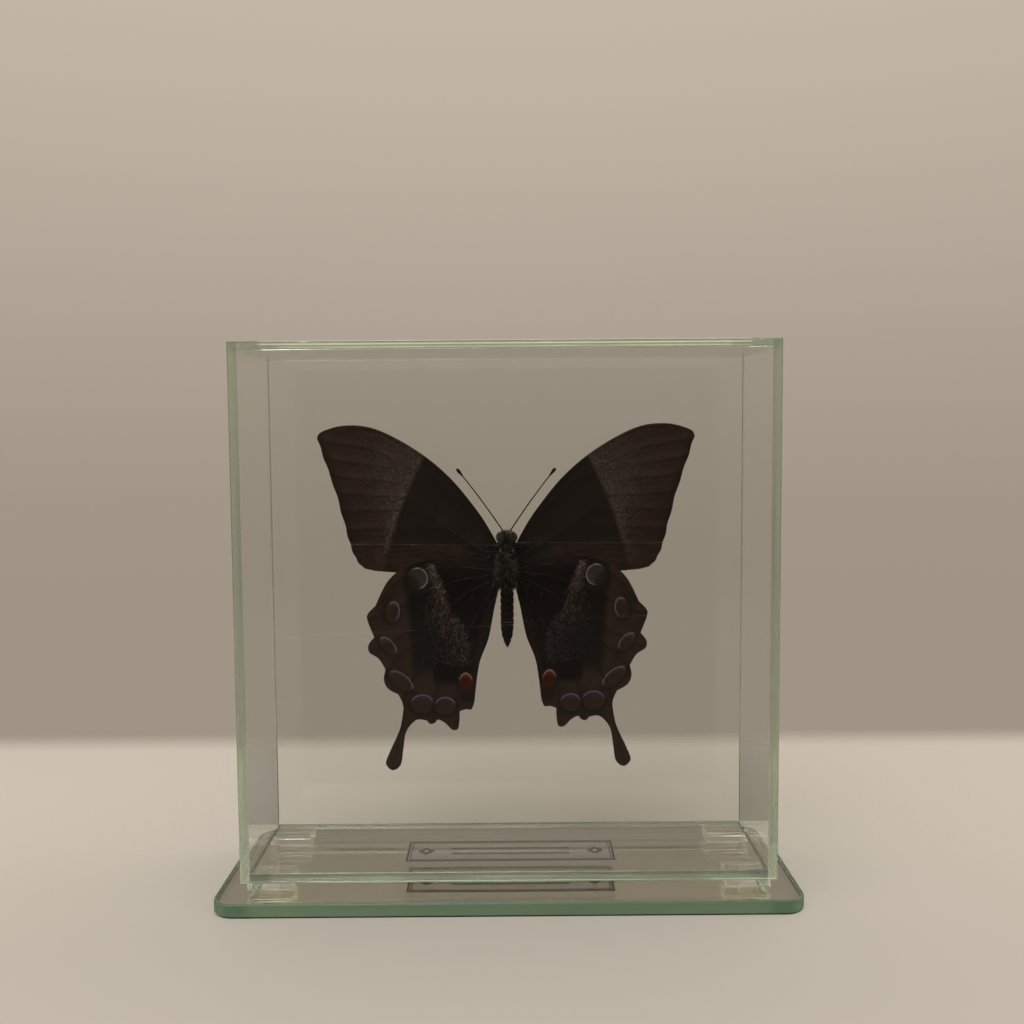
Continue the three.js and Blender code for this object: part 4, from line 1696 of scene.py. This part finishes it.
# %% Abdomen
BELLY_TOP = -8.6
BELLY_LENGTH = 16.6
BELLY_RADIUS = 1.86
SEGMENTS = 8
JOINT_DEPTH = 0.14
JOINT_WIDTH = 0.16
BELLY_SHARES = [0, 0.06, 0.3, 0.62, 0.78, 0.9, 0.96, 1.0]
BELLY_OUTLINE = [0.95, 1.05, 1.03, 1.0, 0.86, 0.56, 0.32, 0.06]
BELLY_SIDES = 28
RING_STEPS = 8
BELLY_HAIRS = 1500


def belly_radius(share):
    """The radius of the belly at a share of its length."""
    outline = np.interp(share, BELLY_SHARES, BELLY_OUTLINE)
    within = (share * SEGMENTS) % 1
    joint = max(0.0, 1 - min(within, 1 - within) / JOINT_WIDTH)
    return BELLY_RADIUS * outline * (1 - JOINT_DEPTH * joint)


shares = np.linspace(0, 1, SEGMENTS * RING_STEPS + 1)
bpy.ops.object.select_all(action="DESELECT")
bpy.ops.mesh.primitive_circle_add(
    vertices=BELLY_SIDES,
    radius=belly_radius(0) * MM,
    fill_type="NGON",
    location=Vector((0, BODY_Y, MIDDLE_LEVEL + BELLY_TOP)) * MM,
)
belly = bpy.context.object
belly.name = "abdomen_rings"
settle(belly)
select(belly, "FACE", lambda face: True)
for before, after in zip(shares[:-1], shares[1:]):
    drop = (after - before) * BELLY_LENGTH
    level = MIDDLE_LEVEL + BELLY_TOP - after * BELLY_LENGTH
    ratio = belly_radius(after) / belly_radius(before)
    bpy.ops.mesh.extrude_region_move(TRANSFORM_OT_translate={"value": (0, 0, -drop * MM)})
    bpy.ops.transform.resize(value=(ratio, ratio, 1), center_override=(0, BODY_Y * MM, level * MM))
leave()
select(belly, "FACE", lambda face: True)
bpy.ops.mesh.normals_make_consistent(inside=False)
leave()
bpy.ops.object.shade_smooth_by_angle(angle=TUBE_CREASE)
paint(belly, body_horn)


def belly_fur(count):
    """Short hair over the rings, combed down, paler at the tip."""
    share = chance.random(count) ** 0.8
    angle = chance.uniform(0, 2 * math.pi, count)
    radius = np.array([belly_radius(s) for s in share])
    facing = np.column_stack([np.cos(angle), np.sin(angle), np.zeros(count)])
    roots = body_middle + facing * radius[:, None]
    roots[:, 2] += BELLY_TOP - share * BELLY_LENGTH
    directions = unit(facing * 0.3 + np.array([0, 0, -1]) + chance.normal(0, 0.12, (count, 3)))
    lengths = chance.uniform(0.25, 0.6, count)
    pale = np.where(share > 0.9, 0.25, 0.02)
    bends = facing * -0.15
    return hairs("belly_fur", roots, directions, lengths, 0.03, bends, [belly_hair, pale_hair], pale)


join("abdomen_rings", [belly, belly_fur(BELLY_HAIRS)])
place(belly, "abdomen", "body_hair")

# %% [markdown]
# ## Feelers
# A feeler is a fine whip of many rings that ends in a club. Along the tube the radius
# swells and shrinks once for each ring. The club is a second, darker tube over its end.

# %% Antennae
FEELER_ROOT = np.array((0.75, -0.2, 8.3))
FEELER_BEND = np.array((7.4, 0.0, 18.4))
FEELER_TIP = np.array((14.35, 0.3, 26.9))
FEELER_RINGS = 44
FEELER_THICKNESS = 0.18
FEELER_TAPER = 0.03
FEELER_RIPPLE = 0.02
FEELER_SOCKET = (0.3, 0.26, 0.17)
CLUB_START = 0.87
CLUB_STEPS = 13
CLUB_OVERLAP = 0.03


def feeler_at(share):
    """A point on the feeler's curve."""
    return (
        FEELER_ROOT * (1 - share) ** 2
        + FEELER_BEND * 2 * share * (1 - share)
        + FEELER_TIP * share ** 2
        + body_middle
    )


shares = np.linspace(0, CLUB_START + CLUB_OVERLAP, FEELER_RINGS * 2 + 1)
thickness = FEELER_THICKNESS - FEELER_TAPER * shares + FEELER_RIPPLE * (np.arange(len(shares)) % 2)
thickness[:3] = FEELER_SOCKET
whip = tube("right_feeler", [feeler_at(share) for share in shares], thickness)
paint(whip, feeler_horn, club_horn)
shares = np.linspace(CLUB_START, 1, CLUB_STEPS)
thickness = np.interp(np.linspace(0, 1, CLUB_STEPS), [0, 0.3, 0.7, 0.92, 1], [0.16, 0.34, 0.52, 0.46, 0.2])
club = tube("club", [feeler_at(share) for share in shares], thickness, roundness=3)
paint(club, feeler_horn, club_horn)
for face in club.data.polygons:
    face.material_index = 1
right_feeler = join("right_feeler", [whip, club])
left_feeler = mirrored(right_feeler, "left_feeler")
place(right_feeler, "right_antenna", "dark_horn")
place(left_feeler, "left_antenna", "dark_horn")

# %% [markdown]
# ## Legs
# The legs are folded on the chest. Each has a stout thigh, a thinner shin and a foot of
# short joints that tapers to a claw, with spines along the shin and foot. A tube makes all
# three: its radius drops at the knee and ripples along the foot.

# %% Legs
LEG_DEPTH = -4.1
LEG_STEPS = 7
LEG_SHARES = [0, 0.2, 0.45, 0.52, 0.6, 0.74, 0.8, 1]
LEG_RADII = [0.26, 0.27, 0.19, 0.2, 0.14, 0.12, 0.1, 0.06]
FOOT_START = 0.74
FOOT_RIPPLE = 0.02
SPINES = 60
SPINE_LENGTHS = (0.22, 0.42)
SPINE_THICKNESS = 0.025
# Each leg: root, knee and foot, sideways and up, and how much further forward it lies.
LEGS = {
    "fore_leg": ((0.6, 1.6), (2.3, 2.6), (1.6, 6.0), 0.0),
    "middle_leg": ((0.7, -1.2), (2.6, -3.4), (1.5, -7.4), 0.0),
    "hind_leg": ((0.5, -3.4), (1.3, -6.2), (0.5, -10.6), 0.2),
}


def leg(name, root, knee, foot, lift):
    """A right leg: thigh to the knee, then shin and foot."""
    depth = LEG_DEPTH - lift
    corners = [
        (root[0], depth + 0.9, root[1]),
        (root[0] + 0.1, depth + 0.1, root[1] + (knee[1] - root[1]) * 0.2),
        (knee[0], depth, knee[1]),
        ((knee[0] + foot[0]) / 2 + 0.1, depth + 0.05, (knee[1] + foot[1]) / 2),
        (foot[0], depth + 0.12, foot[1]),
    ]
    path = [body_middle + point for point in smooth_path(corners, LEG_STEPS)]
    share = np.linspace(0, 1, len(path))
    radii = np.interp(share, LEG_SHARES, LEG_RADII)
    ripple = np.where(share > FOOT_START, FOOT_RIPPLE * (np.arange(len(share)) % 2), 0)
    limb = tube(name, path, radii + ripple)
    paint(limb, limb_horn)
    at = chance.uniform(0.5, 0.98, SPINES) * (len(path) - 1)
    low = at.astype(int)
    roots = np.array(path)[low]
    along = unit(np.diff(np.array(path), axis=0))[low]
    directions = along + chance.normal(0, 0.45, (SPINES, 3))
    lengths = chance.uniform(*SPINE_LENGTHS, SPINES)
    spines = hairs("spines", roots, directions, lengths, SPINE_THICKNESS, along * 0.2, [limb_horn])
    return join(name, [limb, spines])


for kind, (root, knee, foot, lift) in LEGS.items():
    right_leg = leg(f"right_{kind}_skin", root, knee, foot, lift)
    left_leg = mirrored(right_leg, f"left_{kind}_skin")
    place(right_leg, f"right_{kind}", "dark_horn")
    place(left_leg, f"left_{kind}", "dark_horn")

# %% [markdown]
# ## Nylon lines
# Monofilament less than a tenth of a millimetre thick runs from pane to pane with one turn
# round the body. It is clear, and plain refraction makes it nearly vanish in front of the backdrop. Where
# it is wound and tightened a pale matt share is mixed in, so there it shows as a pale thread.

# %% Nylon lines
LINE_REACH = 72.4
LINE_RADIUS = 0.035
LINE_TURN = 24
LINE_PITCH = 0.75
WOUND_TONE = (0.36, 0.33, 0.30)
WOUND_SHARE = 0.7
WOUND_WIDTH = (2.6, 2.2)
# Each line: level and radius of its turn, and how much higher its left and right ends lie.
LINES = {
    "neck_line": (4.75, 1.85, 1.0, -0.6),
    "abdomen_line": (-18.6, 2.15, -3.6, 3.2),
}


def nylon_finish():
    """Clear monofilament, with a pale matt share where it is wound."""
    graph = Graph("nylon")
    x, y, z = graph.place()
    drawn = graph.noise(graph.point(x * 0.1, y * 4.0, z * 4.0), 1.0, 2.0)
    clear = graph.node("BsdfPrincipled", sockets={
        "Base Color": (0.96, 0.96, 0.94),
        "Roughness": 0.02 + drawn * 0.08,
        "IOR": 1.53,
        "Transmission Weight": 0.96,
    })
    pale_matt = graph.node("BsdfDiffuse", sockets={"Color": WOUND_TONE})
    wound = abs(x).step(*WOUND_WIDTH) * WOUND_SHARE
    surface = graph.node("MixShader", sockets={0: wound, 1: clear, 2: pale_matt})
    graph.node("OutputMaterial", sockets={"Surface": surface})
    return graph.owner


def nylon_line(node, level, radius, left, right):
    """A line from the left pane, once round the body, to the right pane."""
    angles = 2 * math.pi * np.arange(LINE_TURN + 1) / LINE_TURN
    turn = np.column_stack([
        radius * np.sin(angles),
        -radius * np.cos(angles),
        level + LINE_PITCH * np.arange(LINE_TURN + 1) / LINE_TURN,
    ])
    start = np.array([[-LINE_REACH, -radius, level + left]])
    end = np.array([[LINE_REACH, -radius, level + LINE_PITCH + right]])
    path = np.vstack([start, turn, end]) + body_middle
    line = tube(f"{node}_strand", path, np.full(len(path), LINE_RADIUS), roundness=2)
    paint(line, nylon)
    place(line, node, "nylon_line")


nylon = nylon_finish()
for node, route in LINES.items():
    nylon_line(node, *route)

# %% [markdown]
# ## Label
# A slip of clear film lies under the case. Its print is a double rule round the rim, plain
# lines where writing would go and a lozenge at each end. The print is ink in the film, so
# it is drawn by formulas in the material: a rule is where the distance to a rectangle lies
# between two values. Inside the rules the film has a faint grey ground.

# %% Label
INK = srgb(16, 30, 66)
GROUND = srgb(138, 144, 146)
LABEL_MIDDLE = (0.45, -2.05)
LABEL_HALF = (30.5, 7.05)
LABEL_CORNER = 0.8 * MM
LABEL_CORNER_STEPS = 5
RULE_SOFT = 0.06
OUTER_RULE = -0.62
INNER_RULE = (-1.32, -1.02)
ROW_HALF = 17.5
ROW_AT = 1.9
ROW_THICKNESS = 0.28
LOZENGE_AT = 25.0
LOZENGE = 2.4
LOZENGE_HEART = 1.2
FILM_ALPHA = 0.03
GROUND_ALPHA = 0.09
INK_ALPHA = 0.8


def label_finish():
    """Clear film with a worn print."""
    graph = Graph("label_print")
    x, y, z = graph.place()
    aside, above = abs(x - LABEL_MIDDLE[0]), abs(y - LABEL_MIDDLE[1])
    beyond = (aside - LABEL_HALF[0]).most(above - LABEL_HALF[1])
    soft = RULE_SOFT
    outer = beyond.band(OUTER_RULE - soft, OUTER_RULE + soft, -soft, soft)
    inner = beyond.band(
        INNER_RULE[0] - soft, INNER_RULE[0] + soft, INNER_RULE[1] - soft, INNER_RULE[1] + soft,
    )
    written = (aside - ROW_HALF).step(soft, -soft) * (abs(above - ROW_AT) - ROW_THICKNESS).step(soft, -soft)
    lozenge = (abs(aside - LOZENGE_AT) / LOZENGE + above / LOZENGE - 1.0).step(soft, -soft)
    heart = (abs(aside - LOZENGE_AT) / LOZENGE_HEART + above / LOZENGE_HEART - 1.0).step(2 * soft, -2 * soft)
    ink = outer.most(inner).most(written).most(lozenge - heart)
    ground = beyond.step(soft, -soft)
    cloth = graph.noise(graph.point(x, y, z), 0.4, 3.0)
    wear = graph.noise(graph.point(x, y, z), 5.0, 3.0).step(0.28, 0.42)
    film = graph.node("BsdfPrincipled", sockets={
        "Base Color": graph.mix(GROUND, INK, ink),
        "Roughness": 0.25 + cloth * 0.2,
        "Specular IOR Level": 0.3,
        "Alpha": FILM_ALPHA + ground * GROUND_ALPHA + ink * wear * INK_ALPHA,
    })
    graph.node("OutputMaterial", sockets={"Surface": film})
    return graph.owner


label_low, label_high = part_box("label")
film = block("label_film", label_low, label_high)
select(film, "EDGE", lambda edge: upright(film, edge))
bpy.ops.mesh.bevel(offset=LABEL_CORNER, segments=LABEL_CORNER_STEPS)
leave()
paint(film, label_finish())
place(film, "label", "label_film")

# %% [markdown]
# ## Light paths
# A ray through the case crosses six panes, and each has two faces, so it needs many bounces
# before it may be dropped. Caustics are off, because the few samples that find them would
# only leave bright specks.

# %% Light paths
BOUNCES = 64
GLASS_BOUNCES = 48
CLAMP = 4.0

cycles = bpy.context.scene.cycles
cycles.max_bounces = BOUNCES
cycles.transmission_bounces = GLASS_BOUNCES
cycles.glossy_bounces = GLASS_BOUNCES
cycles.transparent_max_bounces = GLASS_BOUNCES
cycles.caustics_refractive = False
cycles.caustics_reflective = False
cycles.sample_clamp_indirect = CLAMP
bpy.context.scene.view_settings.view_transform = "Standard"
print("light paths:", cycles.max_bounces, "bounces")
